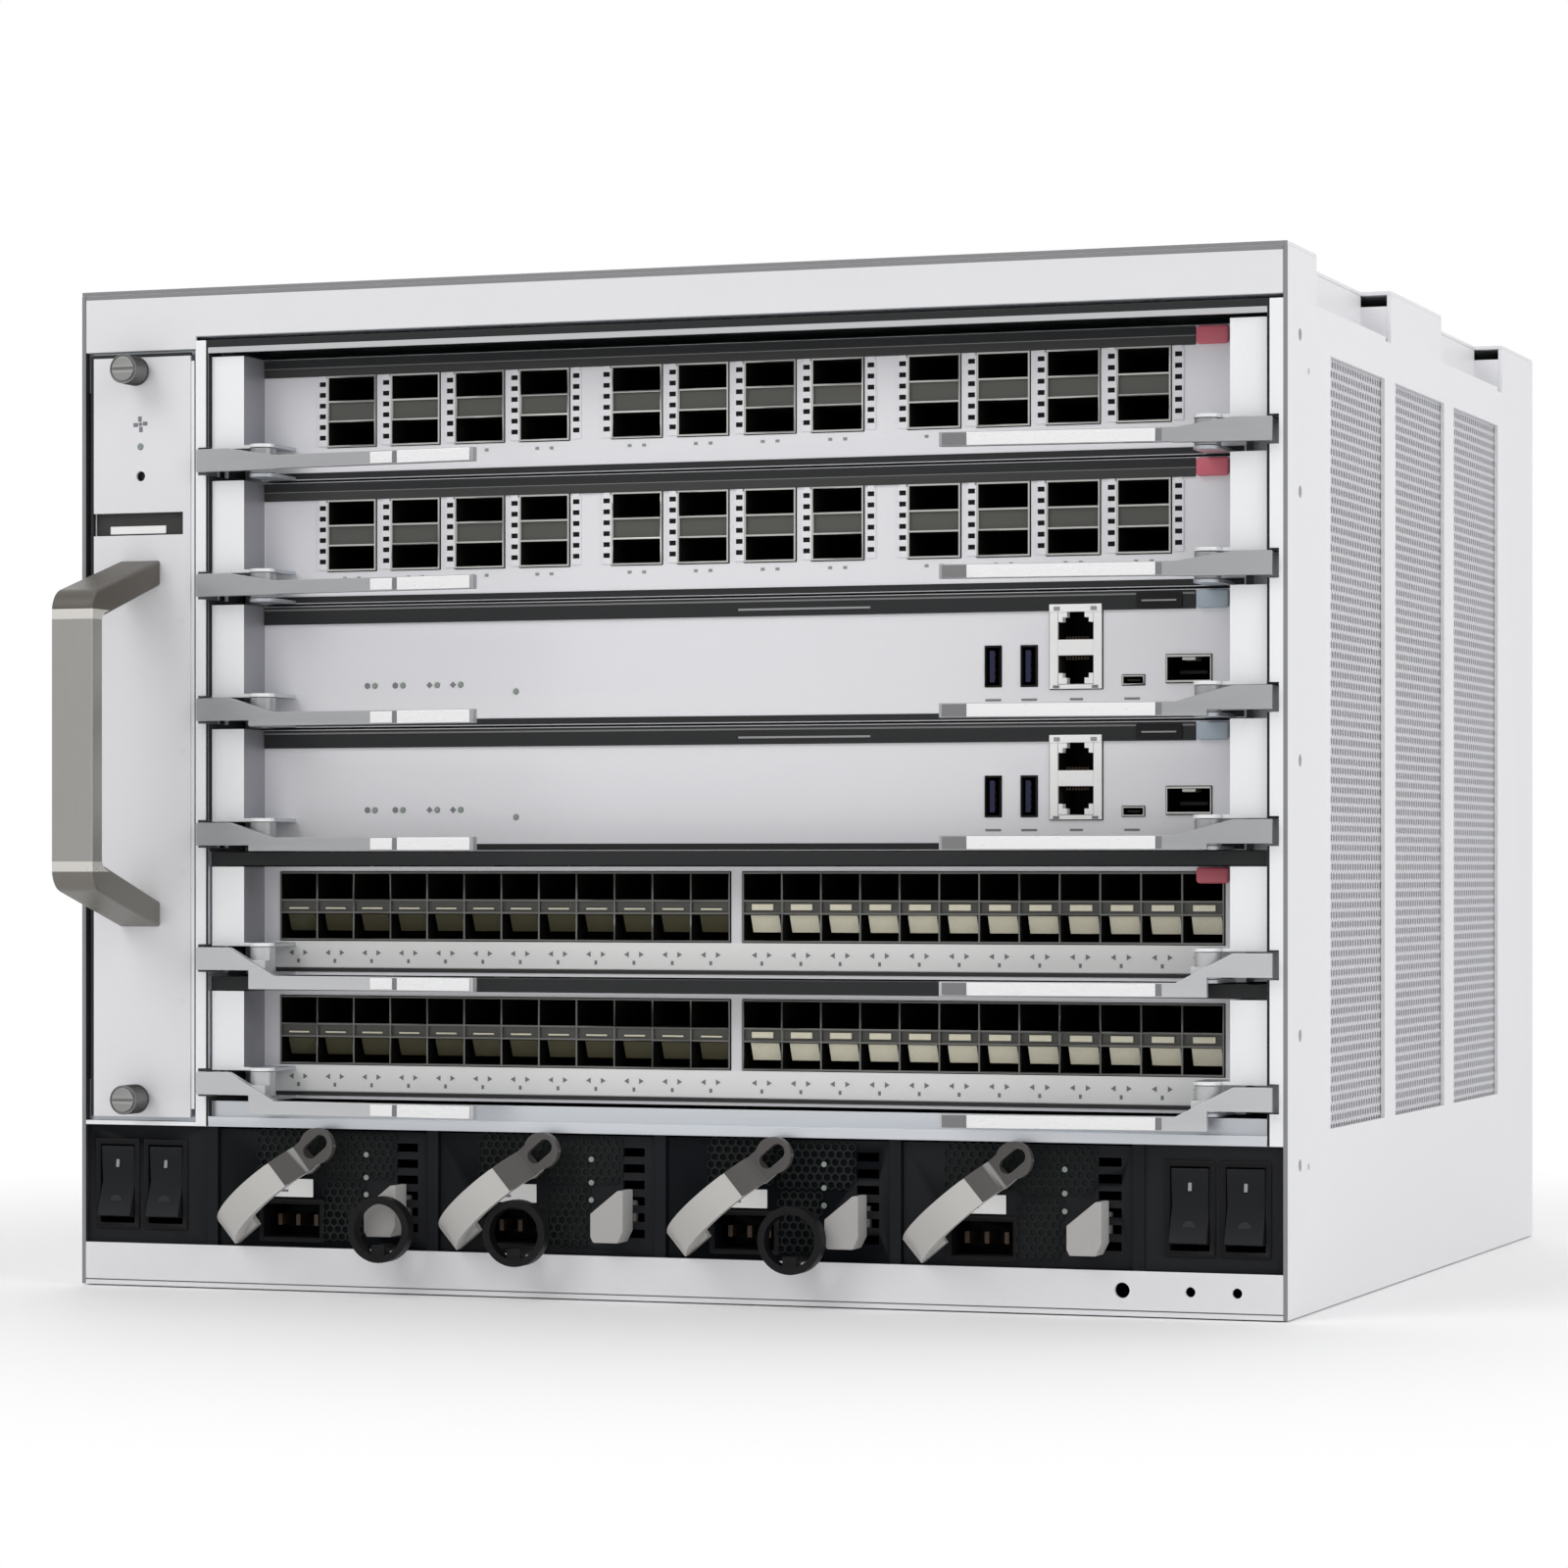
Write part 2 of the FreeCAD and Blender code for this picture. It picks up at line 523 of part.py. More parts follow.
def fan_tray_frame():
    """Folded frame: front with its label recess, rails, rear wall and the wall the fans bolt to."""
    recess_z = TRAY_Z1 - RECESS_DROP
    z0 = recess_z - RECESS_H / 2
    z1 = recess_z + RECESS_H / 2
    front = box(TRAY_X0, TRAY_X1, 0, SKIN, TRAY_Z0, TRAY_Z1)
    window = box(TRAY_X0 + 1, TRAY_X1 - 3, 0, SKIN, z0, z1)
    outlets = [
        rod(FAN_BORE_R, (TRAY_X0, y, z), (FAN_X0, y, z)) for row, column, y, z in fan_centres()
    ]
    side = box(TRAY_X0, FAN_X0, SKIN, BODY_REAR, BODY_Z0, BODY_Z1)
    pieces = [
        front.cut(window),
        box(TRAY_X0, TRAY_X1, SKIN, BODY_REAR, BODY_Z0, BODY_Z0 + SKIN),
        box(TRAY_X0, TRAY_X1, SKIN, BODY_REAR, BODY_Z1 - SKIN, BODY_Z1),
        box(TRAY_X0, TRAY_X1, BODY_REAR - SKIN, BODY_REAR, BODY_Z0, BODY_Z1),
        cut(side, outlets),
        box(TRAY_XC - 10, TRAY_XC + 10, BODY_REAR, MID_Y - CONNECTOR_D - 0.5, TRAY_Z0 + 112, TRAY_Z0 + 148),
    ]
    holes = []
    for z in (TRAY_Z0 + SCREW_INSET, TRAY_Z1 - SCREW_INSET):
        holes.append(rod(SCREW_R + PIN_FIT, (TRAY_XC, -1, z), (TRAY_XC, SKIN + 1, z)))
    holes.append(rod(1.2, (TRAY_XC, -1, TRAY_Z1 - LAMP_DROP), (TRAY_XC, SKIN, TRAY_Z1 - LAMP_DROP)))
    holes.append(rod(1.8, (TRAY_XC, -1, TRAY_Z1 - BUTTON_DROP), (TRAY_XC, SKIN, TRAY_Z1 - BUTTON_DROP)))
    return cut(join(pieces), holes)


def fan_housings():
    """Six square fan housings with their struts, motor bases and fixed shafts."""
    housings = []
    for row, column, y, z in fan_centres():
        half = FAN_SIZE / 2
        ring = box(FAN_X0, FAN_X1, y - half, y + half, z - half, z + half)
        ring = ring.cut(rod(FAN_BORE_R, (FAN_X0, y, z), (FAN_X1, y, z)))
        reach = FAN_BORE_R + 1
        pieces = [
            ring,
            box(FAN_X0, FAN_X0 + STRUT_T, y - reach, y + reach, z - 2, z + 2),
            box(FAN_X0, FAN_X0 + STRUT_T, y - 2, y + 2, z - reach, z + reach),
            rod(HUB_R, (FAN_X0, y, z), (FAN_X0 + STRUT_T, y, z)),
            rod(SHAFT_R, (FAN_X0, y, z), (FAN_X1 - 8, y, z)),
        ]
        housings.append(join(pieces))
    return Part.makeCompound(housings)


def fan_rotor(y, z):
    """Hub with slanted blades that turns on the fixed shaft."""
    x0 = FAN_X0 + STRUT_T + 0.5
    x1 = FAN_X1 - 4
    middle_x = (x0 + x1) / 2
    pieces = [rod(HUB_R, (x0, y, z), (x1, y, z))]
    blade_w = (x1 - x0) / math.cos(math.radians(BLADE_PITCH)) * 0.9
    for number in range(BLADES):
        blade = box(middle_x - blade_w / 2, middle_x + blade_w / 2,
                    y - BLADE_T / 2, y + BLADE_T / 2, z + HUB_R - 3, z + ROTOR_R)
        blade.rotate(Vector(middle_x, y, z), Vector(0, 0, 1), BLADE_PITCH)
        blade.rotate(Vector(middle_x, y, z), Vector(1, 0, 0), number * 360.0 / BLADES)
        pieces.append(blade)
    sweep = rod(ROTOR_R, (x0, y, z), (x1, y, z))
    bore = rod(SHAFT_R + PIN_FIT, (x0, y, z), (FAN_X1 - 7.5, y, z))
    return join(pieces).common(sweep).cut(bore)


def fan_tray_handle():
    """Bow handle: a long grip between two sloping arms that stand on the tray front."""
    middle = (TRAY_Z0 + TRAY_Z1) / 2 - GRIP_MID_DROP
    foot = GRIP_FOOT_H / 2
    top = GRIP_TOP_H / 2
    x0 = TRAY_XC - GRIP_W / 2
    outline = (
        (x0, 0, middle + foot), (x0, -GRIP_REACH, middle + top),
        (x0, -GRIP_REACH, middle - top), (x0, 0, middle - foot),
        (x0, 0, middle - foot + GRIP_T + 1), (x0, GRIP_T - GRIP_REACH, middle - top + GRIP_T),
        (x0, GRIP_T - GRIP_REACH, middle + top - GRIP_T), (x0, 0, middle + foot - GRIP_T - 1),
    )
    bow = prism(outline, (GRIP_W, 0, 0))
    outer = []
    inner = []
    for edge in bow.Edges:
        along = edge.lastVertex().Point - edge.firstVertex().Point
        y = edge.CenterOfMass.y
        if abs(along.x) < GRIP_W - 0.1 or y > -1:
            continue
        if y < -GRIP_REACH + 1:
            outer.append(edge)
        else:
            inner.append(edge)
    bow = bow.makeFillet(GRIP_T, outer)
    inner = [edge for edge in bow.Edges if is_inner_bend(edge, GRIP_T - GRIP_REACH)]
    return bow.makeFillet(GRIP_T / 4, inner)


def is_inner_bend(edge, y):
    """True for an edge that runs across the handle at the inside of a bend."""
    along = edge.lastVertex().Point - edge.firstVertex().Point
    return abs(abs(along.x) - GRIP_W) < 0.01 and abs(edge.CenterOfMass.y - y) < 0.01


def thumbscrew(z):
    """Captive screw of the fan tray with a round knob."""
    return join([
        rod(SCREW_KNOB_R, (TRAY_XC, -1 - SCREW_KNOB_L, z), (TRAY_XC, -1, z)),
        rod(SCREW_KNOB_R - 1.5, (TRAY_XC, -1, z), (TRAY_XC, -0.2, z)),
        rod(SCREW_R, (TRAY_XC, -1, z), (TRAY_XC, 5 * SKIN, z)),
    ])


# ---- cards ----

def wide_port_columns():
    """Middle of each column of wide ports."""
    for group in range(WIDE_GROUPS):
        for column in range(WIDE_COLUMNS):
            group_x = (group - (WIDE_GROUPS - 1) / 2) * WIDE_GROUP_PITCH
            yield CAGE_XC + group_x + (column - (WIDE_COLUMNS - 1) / 2) * WIDE_PITCH


def small_port_blocks():
    """Left and right ends of the two blocks of small ports."""
    width = SMALL_COLUMNS * SMALL_PITCH
    half = SMALL_DIVIDER / 2
    return ((CAGE_XC - half - width, CAGE_XC - half), (CAGE_XC + half, CAGE_XC + half + width))


def control_ports():
    """Outer size of every socket on a control card: left, right, bottom, top and depth."""
    sockets = [(JACK_X, JACK_SIZE, SOCKET_D)]
    sockets += [(x, USB_SIZE, SOCKET_D) for x in USB_PORTS_X]
    sockets += [(SERIAL_X, SERIAL_SIZE, SOCKET_D), (UPLINK_X, UPLINK_SIZE, CAGE_D)]
    for x, (width, bottom, top), depth in sockets:
        yield CAGE_XC + x, CAGE_XC + x + width, bottom, top, depth


def port_windows(kind, z0):
    """Cut-outs of the faceplate, a little larger than what comes through them."""
    gap = EDGE_GAP
    windows = []
    if kind == "wide":
        bottom = z0 + WIDE_ROWS_Z[0] - CAGE_T - gap
        top = z0 + WIDE_ROWS_Z[1] + WIDE_ROW_H + CAGE_T + gap
        reach = WIDE_W / 2 + CAGE_T + gap
        for x in wide_port_columns():
            windows.append(box(x - reach, x + reach, FACE_Y, FACE_BACK, bottom, top))
    elif kind == "dense":
        bottom = z0 + SMALL_ROWS_Z[0] - CAGE_T - gap
        top = z0 + SMALL_ROWS_Z[1] + SMALL_ROW_H + CAGE_T + gap
        for x0, x1 in small_port_blocks():
            windows.append(box(x0 - gap, x1 + gap, FACE_Y, FACE_BACK, bottom, top))
    else:
        for x0, x1, low, high, _ in control_ports():
            windows.append(box(x0 - gap, x1 + gap, FACE_Y, FACE_BACK, z0 + low - gap, z0 + high + gap))
        for x, z in STATUS_HOLES:
            x += CAGE_XC
            windows.append(rod(1.1, (x, FACE_Y - 1, z0 + z), (x, FACE_BACK + 1, z0 + z)))
    return windows


def card_front_height(kind):
    """Height of a card at its front."""
    return CARD_H - DENSE_DROP + CARD_GAP if kind == "dense" else CARD_H


def card_end(z0, top):
    """Left end of a card: flange, its closed box, and the ears and pin that hold a lever."""
    ledge = z0 + LEDGE_H
    ear_z0 = ledge - SHEET
    tongue = (PIVOT_X - EAR_R, PIVOT_X + EAR_R, PIVOT_Y, FACE_BACK)
    return [
        box(CARD_X0, FACE_X0, FLANGE_Y, FLANGE_Y + SHEET, ear_z0, top),
        box(CARD_X0, CARD_X0 + SHEET, FLANGE_Y, BOX_D, ear_z0, top),
        box(FACE_X0 - SHEET, FACE_X0, FLANGE_Y, FACE_BACK, ear_z0, top),
        box(FACE_X0 - SHEET, FACE_X0, FACE_Y, BOX_D, z0, top),
        box(CARD_X0, FACE_X0, BOX_D - SHEET, BOX_D, z0, top),
        box(CARD_X0, PIVOT_X + EAR_R, FLANGE_Y, FACE_BACK, ear_z0, ledge),
        rod(EAR_R, (PIVOT_X, PIVOT_Y, ear_z0), (PIVOT_X, PIVOT_Y, ledge)),
        box(*tongue, z0, z0 + SHEET),
        rod(EAR_R, (PIVOT_X, PIVOT_Y, z0), (PIVOT_X, PIVOT_Y, z0 + SHEET)),
        rod(PIVOT_R, (PIVOT_X, PIVOT_Y, z0), (PIVOT_X, PIVOT_Y, ledge)),
        box(CARD_X0, CARD_X0 + SHEET, BOX_D, CARD_REAR - 8, z0, z0 + 12),
    ]


def card_carrier(slot):
    """Sheet-metal carrier of a card: faceplate, ends, tray and board standoffs."""
    kind = CARD_KINDS[slot]
    z0 = slot_z(slot)
    top = z0 + card_front_height(kind)
    face = box(FACE_X0 - SHEET, FACE_X1 + SHEET, FACE_Y, FACE_BACK, z0, top)
    end = card_end(z0, top)
    pieces = [cut(face, port_windows(kind, z0))] + end
    pieces += [mirrored(piece, CAGE_XC) for piece in end]
    pieces.append(box(FACE_X0 - SHEET, FACE_X1 + SHEET, FACE_Y, BOX_D, z0, z0 + SHEET))
    pieces.append(box(CARD_X0, CARD_X1, BOX_D - SHEET, CARD_REAR - 8, z0, z0 + SHEET))
    for x in (CARD_X0 + 12, CAGE_XC, CARD_X1 - 12):
        for y in (BOX_D + 60, (BOX_D + CARD_REAR) / 2, CARD_REAR - 20):
            pieces.append(rod(STANDOFF_R, (x, y, z0 + SHEET / 2), (x, y, z0 + SHEET + STANDOFF_H)))
    return join(pieces)


def wide_cages(z0):
    """Cages of the wide ports: tall shells, each with a closed strip between its two rows."""
    front = FACE_Y - CAGE_PROUD
    rear = front + CAGE_D
    low, high = WIDE_ROWS_Z
    floor = z0 + low - CAGE_T
    roof = z0 + high + WIDE_ROW_H
    pieces = []
    feet = []
    for x in wide_port_columns():
        x0 = x - WIDE_W / 2
        x1 = x + WIDE_W / 2
        feet.append((x0 - CAGE_T, x1 + CAGE_T, floor))
        pieces += [
            box(x0 - CAGE_T, x0, front, rear, floor, roof + CAGE_T),
            box(x1, x1 + CAGE_T, front, rear, floor, roof + CAGE_T),
            box(x0, x1, front, rear, floor, z0 + low),
            box(x0, x1, front, rear, z0 + low + WIDE_ROW_H, z0 + low + WIDE_ROW_H + CAGE_T),
            box(x0, x1, front, rear, z0 + high - CAGE_T, z0 + high),
            box(x0, x1, front, rear, roof, roof + CAGE_T),
            box(x0, x1, front + 1, front + 1 + CAGE_T, z0 + low + WIDE_ROW_H, z0 + high),
            box(x0, x1, rear - CAGE_T, rear, floor, roof),
        ]
    return pieces, feet


def small_cages(z0):
    """Cages of the small ports: two long blocks of thin plates."""
    front = FACE_Y - CAGE_PROUD
    rear = front + CAGE_D
    low, high = SMALL_ROWS_Z
    floor = z0 + low - CAGE_T
    roof = z0 + high + SMALL_ROW_H
    pieces = []
    feet = []
    for x0, x1 in small_port_blocks():
        feet.append((x0, x1, floor))
        for z in (floor, z0 + low + SMALL_ROW_H, z0 + high - CAGE_T, roof):
            pieces.append(box(x0, x1, front, rear, z, z + CAGE_T))
        pieces.append(box(x0, x1, front + 1, front + 1 + CAGE_T, z0 + low + SMALL_ROW_H, z0 + high))
        pieces.append(box(x0, x1, rear - CAGE_T, rear, floor, roof + CAGE_T))
        for number in range(SMALL_COLUMNS + 1):
            x = x0 + number * (x1 - x0 - CAGE_T) / SMALL_COLUMNS
            pieces.append(box(x, x + CAGE_T, front, rear, floor, roof + CAGE_T))
    return pieces, feet


def control_sockets(z0):
    """Sockets of a control card: two jacks in one block, two USB, one serial and one uplink."""
    front = FACE_Y - CAGE_PROUD
    pieces = []
    feet = []
    for number, (x0, x1, low, high, depth) in enumerate(control_ports()):
        feet.append((x0, x1, z0 + low))
        shell = box(x0, x1, front, front + depth, z0 + low, z0 + high)
        if number == 0:
            middle = (x0 + x1) / 2
            half = JACK_HOLE[0] / 2
            tools = []
            for hole_z in JACK_HOLES_Z:
                bottom = z0 + hole_z
                tools.append(box(middle - half, middle + half, front, front + depth - 3,
                                 bottom, bottom + JACK_HOLE[1]))
            pieces.append(cut(shell, tools))
        else:
            wall = SOCKET_T
            cavity = box(x0 + wall, x1 - wall, front, front + depth - wall, z0 + low + wall, z0 + high - wall)
            pieces.append(shell.cut(cavity))
    return pieces, feet


def card_board(slot):
    """Circuit board of a card, with its port cages, heat sinks and rear connector."""
    kind = CARD_KINDS[slot]
    z0 = slot_z(slot)
    board_z = z0 + SHEET + STANDOFF_H
    board_top = board_z + PCB_T
    ports = {"wide": wide_cages, "dense": small_cages, "control": control_sockets}[kind]
    pieces, feet = ports(z0)
    board_x0 = CARD_X0 + 3
    board_x1 = CARD_X1 - 3
    pieces.append(box(board_x0, board_x1, BOX_D + 1, CARD_REAR - 9, board_z, board_top))
    pieces.append(box(FACE_X0 + 2, FACE_X1 - 2, BOX_D - 8, BOX_D + 1, board_z, board_top))
    for x0, x1, floor in feet:
        pieces.append(box(x0, x1, BOX_D - 6, BOX_D + 6, board_z, floor))
    fins = 9
    for x in (CAGE_XC - 75, CAGE_XC + 75):
        pieces.append(box(x - 45, x + 45, 130, 220, board_top, board_top + 5))
        for number in range(fins):
            fin_x = x - 44 + number * 88 / (fins - 1)
            pieces.append(box(fin_x - 1, fin_x + 1, 130, 220, board_top, board_top + 22))
    pieces.append(box(CAGE_XC - 118, CAGE_XC + 118, CARD_REAR - 20, CARD_REAR, board_top, z0 + 25))
    return join(pieces)


def lever(slot):
    """Left ejector lever: barrel on its pin, hook over the post and an arm along the card."""
    kind = CARD_KINDS[slot]
    z0 = slot_z(slot)
    head_z0 = z0 + HEAD_Z[0]
    head_z1 = z0 + HEAD_Z[1]
    arm_z0 = z0 + ARM_DROP[kind]
    arm_z1 = arm_z0 + LEVER_H
    front = PIVOT_Y - LEVER_FRONT
    hook_x = CAGE_X0 - HOOK_REACH
    slope_x = PIVOT_X + 9.5
    tip_x = PIVOT_X + LEVER_L
    low = min(arm_z0, head_z0)
    outline = [
        (hook_x, front, head_z0), (PIVOT_X - 1, front, head_z0), (PIVOT_X - 1, front, low),
        (tip_x, front, arm_z0), (tip_x, front, arm_z1), (slope_x, front, arm_z1),
        (PIVOT_X - 9.5, front, head_z1), (hook_x, front, head_z1),
    ]
    if low == head_z0:
        outline[2:3] = [(slope_x, front, head_z0), (slope_x + 2, front, arm_z0)]
    arm = prism(outline, (0, LEVER_T, 0))
    arm.rotate(Vector(PIVOT_X, PIVOT_Y, 0), Vector(0, 0, 1), -LEVER_SPLAY)
    barrel_z0 = z0 + SHEET + RUN
    barrel_z1 = z0 + LEDGE_H - SHEET - RUN
    neck = box(PIVOT_X - 4, PIVOT_X + 4, front + LEVER_T / 2, PIVOT_Y, head_z0, z0 + HEAD_Z[0] + 3.5)
    barrel = rod(BARREL_R, (PIVOT_X, PIVOT_Y, barrel_z0), (PIVOT_X, PIVOT_Y, barrel_z1))
    bore = rod(PIVOT_R + PIN_FIT, (PIVOT_X, PIVOT_Y, barrel_z0), (PIVOT_X, PIVOT_Y, barrel_z1))
    return join([arm, neck, barrel]).cut(bore)


# ---- power supplies ----

def supply_case(number):
    """Case of a power supply with its inlet well, tab slot, lamps and cord retainer loop."""
    middle = (number - (SUPPLIES - 1) / 2) * SUPPLY_PITCH
    x0 = middle - SUPPLY_W / 2
    x1 = middle + SUPPLY_W / 2
    face = SUPPLY_FACE_Y
    face_t = 2.0
    outer = box(x0, x1, face, SUPPLY_REAR, SUPPLY_Z0, SUPPLY_Z1)
    inner = box(x0 + SHEET, x1 - SHEET, face + face_t, SUPPLY_REAR - SHEET, SUPPLY_Z0 + SHEET, SUPPLY_Z1 - SHEET)
    inlet_w, inlet_h, inlet_d = INLET_SIZE
    inlet_x = middle + INLET_X
    inlet_z = BASE_H + INLET_FOOT
    well = box(inlet_x - inlet_w / 2, inlet_x + inlet_w / 2, face, face + inlet_d + face_t,
               inlet_z, inlet_z + inlet_h)
    hollow = box(inlet_x - inlet_w / 2 + 1.2, inlet_x + inlet_w / 2 - 1.2, face, face + inlet_d,
                 inlet_z + 1.2, inlet_z + inlet_h - 1.2)
    blades = [
        box(inlet_x + step * 7 - 0.8, inlet_x + step * 7 + 0.8, face + 5, face + inlet_d + 1,
            inlet_z + 5, inlet_z + 9)
        for step in (-1, 0, 1)
    ]
    tab_x = middle + TAB_X
    tab_z = BASE_H + TAB_FOOT + TAB_SIZE[1] / 2
    slot = box(tab_x - TAB_STEM / 2 - TAB_TRAVEL - EDGE_GAP, tab_x + TAB_STEM / 2 + EDGE_GAP,
               face, face + face_t, tab_z - 3 - EDGE_GAP, tab_z + 3 + EDGE_GAP)
    tools = [inner, slot]
    for row in range(6):
        z = SUPPLY_Z0 + 6 + row * 5.6
        tools.append(box(x1 - 12, x1 - 4, face, face + face_t, z, z + 3))
    tools.append(box(x0 + 22, x0 + 46, SUPPLY_REAR - SHEET, SUPPLY_REAR, SUPPLY_Z0 + 8, SUPPLY_Z1 - 8))
    shell = join([cut(outer, tools), well.cut(hollow)]).cut(hollow)
    pieces = [shell] + blades
    if number < len(LOOP_X):
        pieces += retainer_loop(middle + LOOP_X[number])
    return join(pieces)


def retainer_loop(x):
    """Loop that holds a power cord, on a foot over the base strip."""
    z = BASE_H + 8.0
    back = -9.0
    front = back - 5.0
    loop = rod(LOOP_R, (x, front, z), (x, back, z)).cut(rod(LOOP_R - LOOP_T, (x, front, z), (x, back, z)))
    foot = box(x - 2.5, x + 2.5, front, SUPPLY_FACE_Y, BASE_H + 0.4, BASE_H + 2.5)
    web = box(x - 2.5, x + 2.5, front, back, z - LOOP_R + 1, BASE_H + 2.5)
    return [loop, foot, web]


def supply_handle(number):
    """Strap handle: arched from a foot at the lower left to a ring end at the upper right."""
    middle = (number - (SUPPLIES - 1) / 2) * SUPPLY_PITCH
    face = SUPPLY_FACE_Y
    half = STRAP_W / 2
    reach = -STRAP_REACH
    ring_u = 43.0
    leg_u = 34.0
    ring_y = -7.2
    outer = Part.Arc(Vector(-6, 0, -half), Vector(18, reach, -half), Vector(leg_u + 2, ring_y, -half)).toShape()
    inner = Part.Arc(Vector(-1, 0, -half), Vector(18, reach + STRAP_T, -half),
                     Vector(leg_u + 2, ring_y + STRAP_T, -half)).toShape()
    tip = Part.LineSegment(Vector(leg_u + 2, ring_y, -half), Vector(leg_u + 2, ring_y + STRAP_T, -half)).toShape()
    foot = Part.LineSegment(Vector(-1, 0, -half), Vector(-6, 0, -half)).toShape()
    profile = Part.Face(Part.Wire(Part.__sortEdges__([outer, tip, inner, foot])))
    arch = profile.extrude(Vector(0, 0, STRAP_W))
    ring_back = ring_y + STRAP_T
    pieces = [
        arch,
        box(-6, 5, -1.0, face, -half, half),
        box(leg_u - 2, leg_u + 2, ring_y + 1, face, -half + 1, half - 1),
        box(leg_u, ring_u, ring_y, ring_back, -half, half),
        rod(RING_R, (ring_u, ring_y, 0), (ring_u, ring_back, 0)),
    ]
    hole = join([
        box(ring_u - 3, ring_u + 2, ring_y - 1, ring_back + 1, -2.6, 2.6),
        rod(2.6, (ring_u - 3, ring_y - 1, 0), (ring_u - 3, ring_back + 1, 0)),
        rod(2.6, (ring_u + 2, ring_y - 1, 0), (ring_u + 2, ring_back + 1, 0)),
    ])
    strap = join(pieces).cut(hole)
    strap.rotate(Vector(0, 0, 0), Vector(0, 1, 0), -STRAP_ANGLE)
    strap.translate(Vector(middle + STRAP_FOOT[0], 0, BASE_H + STRAP_FOOT[1]))
    return strap


def supply_tab(number):
    """Release tab: a wedge in front of the face, a stem through its slot and a plate behind."""
    middle = (number - (SUPPLIES - 1) / 2) * SUPPLY_PITCH
    x = middle + TAB_X
    z0 = BASE_H + TAB_FOOT
    half_w = TAB_SIZE[0] / 2
    height = TAB_SIZE[1]
    front = -7.0
    back = SUPPLY_FACE_Y - EDGE_GAP
    middle_z = z0 + height / 2
    wedge = (
        (x - half_w + 1, back, z0), (x + half_w - 2, back, z0), (x + half_w, back, z0 + 4),
        (x + half_w, back, z0 + height), (x + half_w - 2, back, z0 + height),
        (x - half_w, back, z0 + height * 0.55), (x - half_w, back, z0 + 2),
    )
    wall_back = SUPPLY_FACE_Y + 2.0
    stem = TAB_STEM / 2
    return join([
        prism(wedge, (0, front - back, 0)),
        box(x - stem, x + stem, back - 1, wall_back + 2, middle_z - 3, middle_z + 3),
        box(x - half_w, x + half_w, wall_back + EDGE_GAP, wall_back + 3, middle_z - 5, middle_z + 5),
    ])


def main():
    """Build every piece and write it."""
    os.makedirs("parts", exist_ok=True)
    panel = side_panel()
    save("base_pan", base_pan())
    save("right_side_panel", panel)
    save("left_side_panel", mirrored(panel, 0))
    save("top_cover", top_cover())
    save("rear_panel", rear_panel())
    save("front_bezel", front_bezel())
    save("card_cage", card_cage())
    save("midplane", midplane())
    save("switch_blocks", Part.makeCompound([switch_block("left"), switch_block("right")]))
    for side, places in ROCKER_X.items():
        for number, x in enumerate(places, 1):
            save("rocker_%s_%d" % (side, number), rocker(x))
    save("fan_tray_frame", fan_tray_frame())
    save("fan_housings", fan_housings())
    save("fan_tray_handle", fan_tray_handle())
    save("thumbscrew_bottom", thumbscrew(TRAY_Z0 + SCREW_INSET))
    save("thumbscrew_top", thumbscrew(TRAY_Z1 - SCREW_INSET))
    for row, column, y, z in fan_centres():
        save("fan_rotor_%d_%d" % (row, column), fan_rotor(y, z))
    for slot in range(1, SLOTS + 1):
        save("card_%d_carrier" % slot, card_carrier(slot))
        save("card_%d_board" % slot, card_board(slot))
        left = lever(slot)
        save("card_%d_lever_left" % slot, left)
        save("card_%d_lever_right" % slot, mirrored(left, CAGE_XC))
    for number in range(SUPPLIES):
        save("supply_%d_case" % (number + 1), supply_case(number))
        save("supply_%d_handle" % (number + 1), supply_handle(number))
        save("supply_%d_tab" % (number + 1), supply_tab(number))


main()
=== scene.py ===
"""Modular chassis switch: the look of every piece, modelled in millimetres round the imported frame."""

import json
import logging
import math
from dataclasses import dataclass
from enum import Enum
from typing import Callable, Sequence

import bpy
from mathutils import Matrix, Vector

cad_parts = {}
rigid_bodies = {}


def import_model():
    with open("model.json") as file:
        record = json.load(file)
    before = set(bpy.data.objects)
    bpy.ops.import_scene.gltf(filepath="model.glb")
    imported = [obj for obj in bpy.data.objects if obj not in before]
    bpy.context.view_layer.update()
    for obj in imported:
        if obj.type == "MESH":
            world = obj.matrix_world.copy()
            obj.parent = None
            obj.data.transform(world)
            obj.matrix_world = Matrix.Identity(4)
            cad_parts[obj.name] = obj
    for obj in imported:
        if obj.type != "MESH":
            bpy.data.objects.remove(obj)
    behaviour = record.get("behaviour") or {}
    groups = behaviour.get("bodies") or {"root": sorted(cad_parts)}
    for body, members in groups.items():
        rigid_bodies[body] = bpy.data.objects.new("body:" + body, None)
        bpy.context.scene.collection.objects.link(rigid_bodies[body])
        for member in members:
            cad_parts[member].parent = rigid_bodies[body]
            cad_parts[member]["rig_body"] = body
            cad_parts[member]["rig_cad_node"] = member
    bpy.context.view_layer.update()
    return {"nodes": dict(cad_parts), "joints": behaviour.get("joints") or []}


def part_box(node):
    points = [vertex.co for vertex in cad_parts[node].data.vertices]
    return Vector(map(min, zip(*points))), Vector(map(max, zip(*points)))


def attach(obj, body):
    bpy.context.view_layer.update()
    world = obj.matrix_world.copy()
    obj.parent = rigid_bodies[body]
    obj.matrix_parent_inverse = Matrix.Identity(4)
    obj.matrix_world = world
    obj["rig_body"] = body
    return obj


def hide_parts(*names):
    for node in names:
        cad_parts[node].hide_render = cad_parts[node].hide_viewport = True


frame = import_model()

Obj = bpy.types.Object
Point = tuple[float, float, float]
Test = Callable[[Vector, Vector], bool]

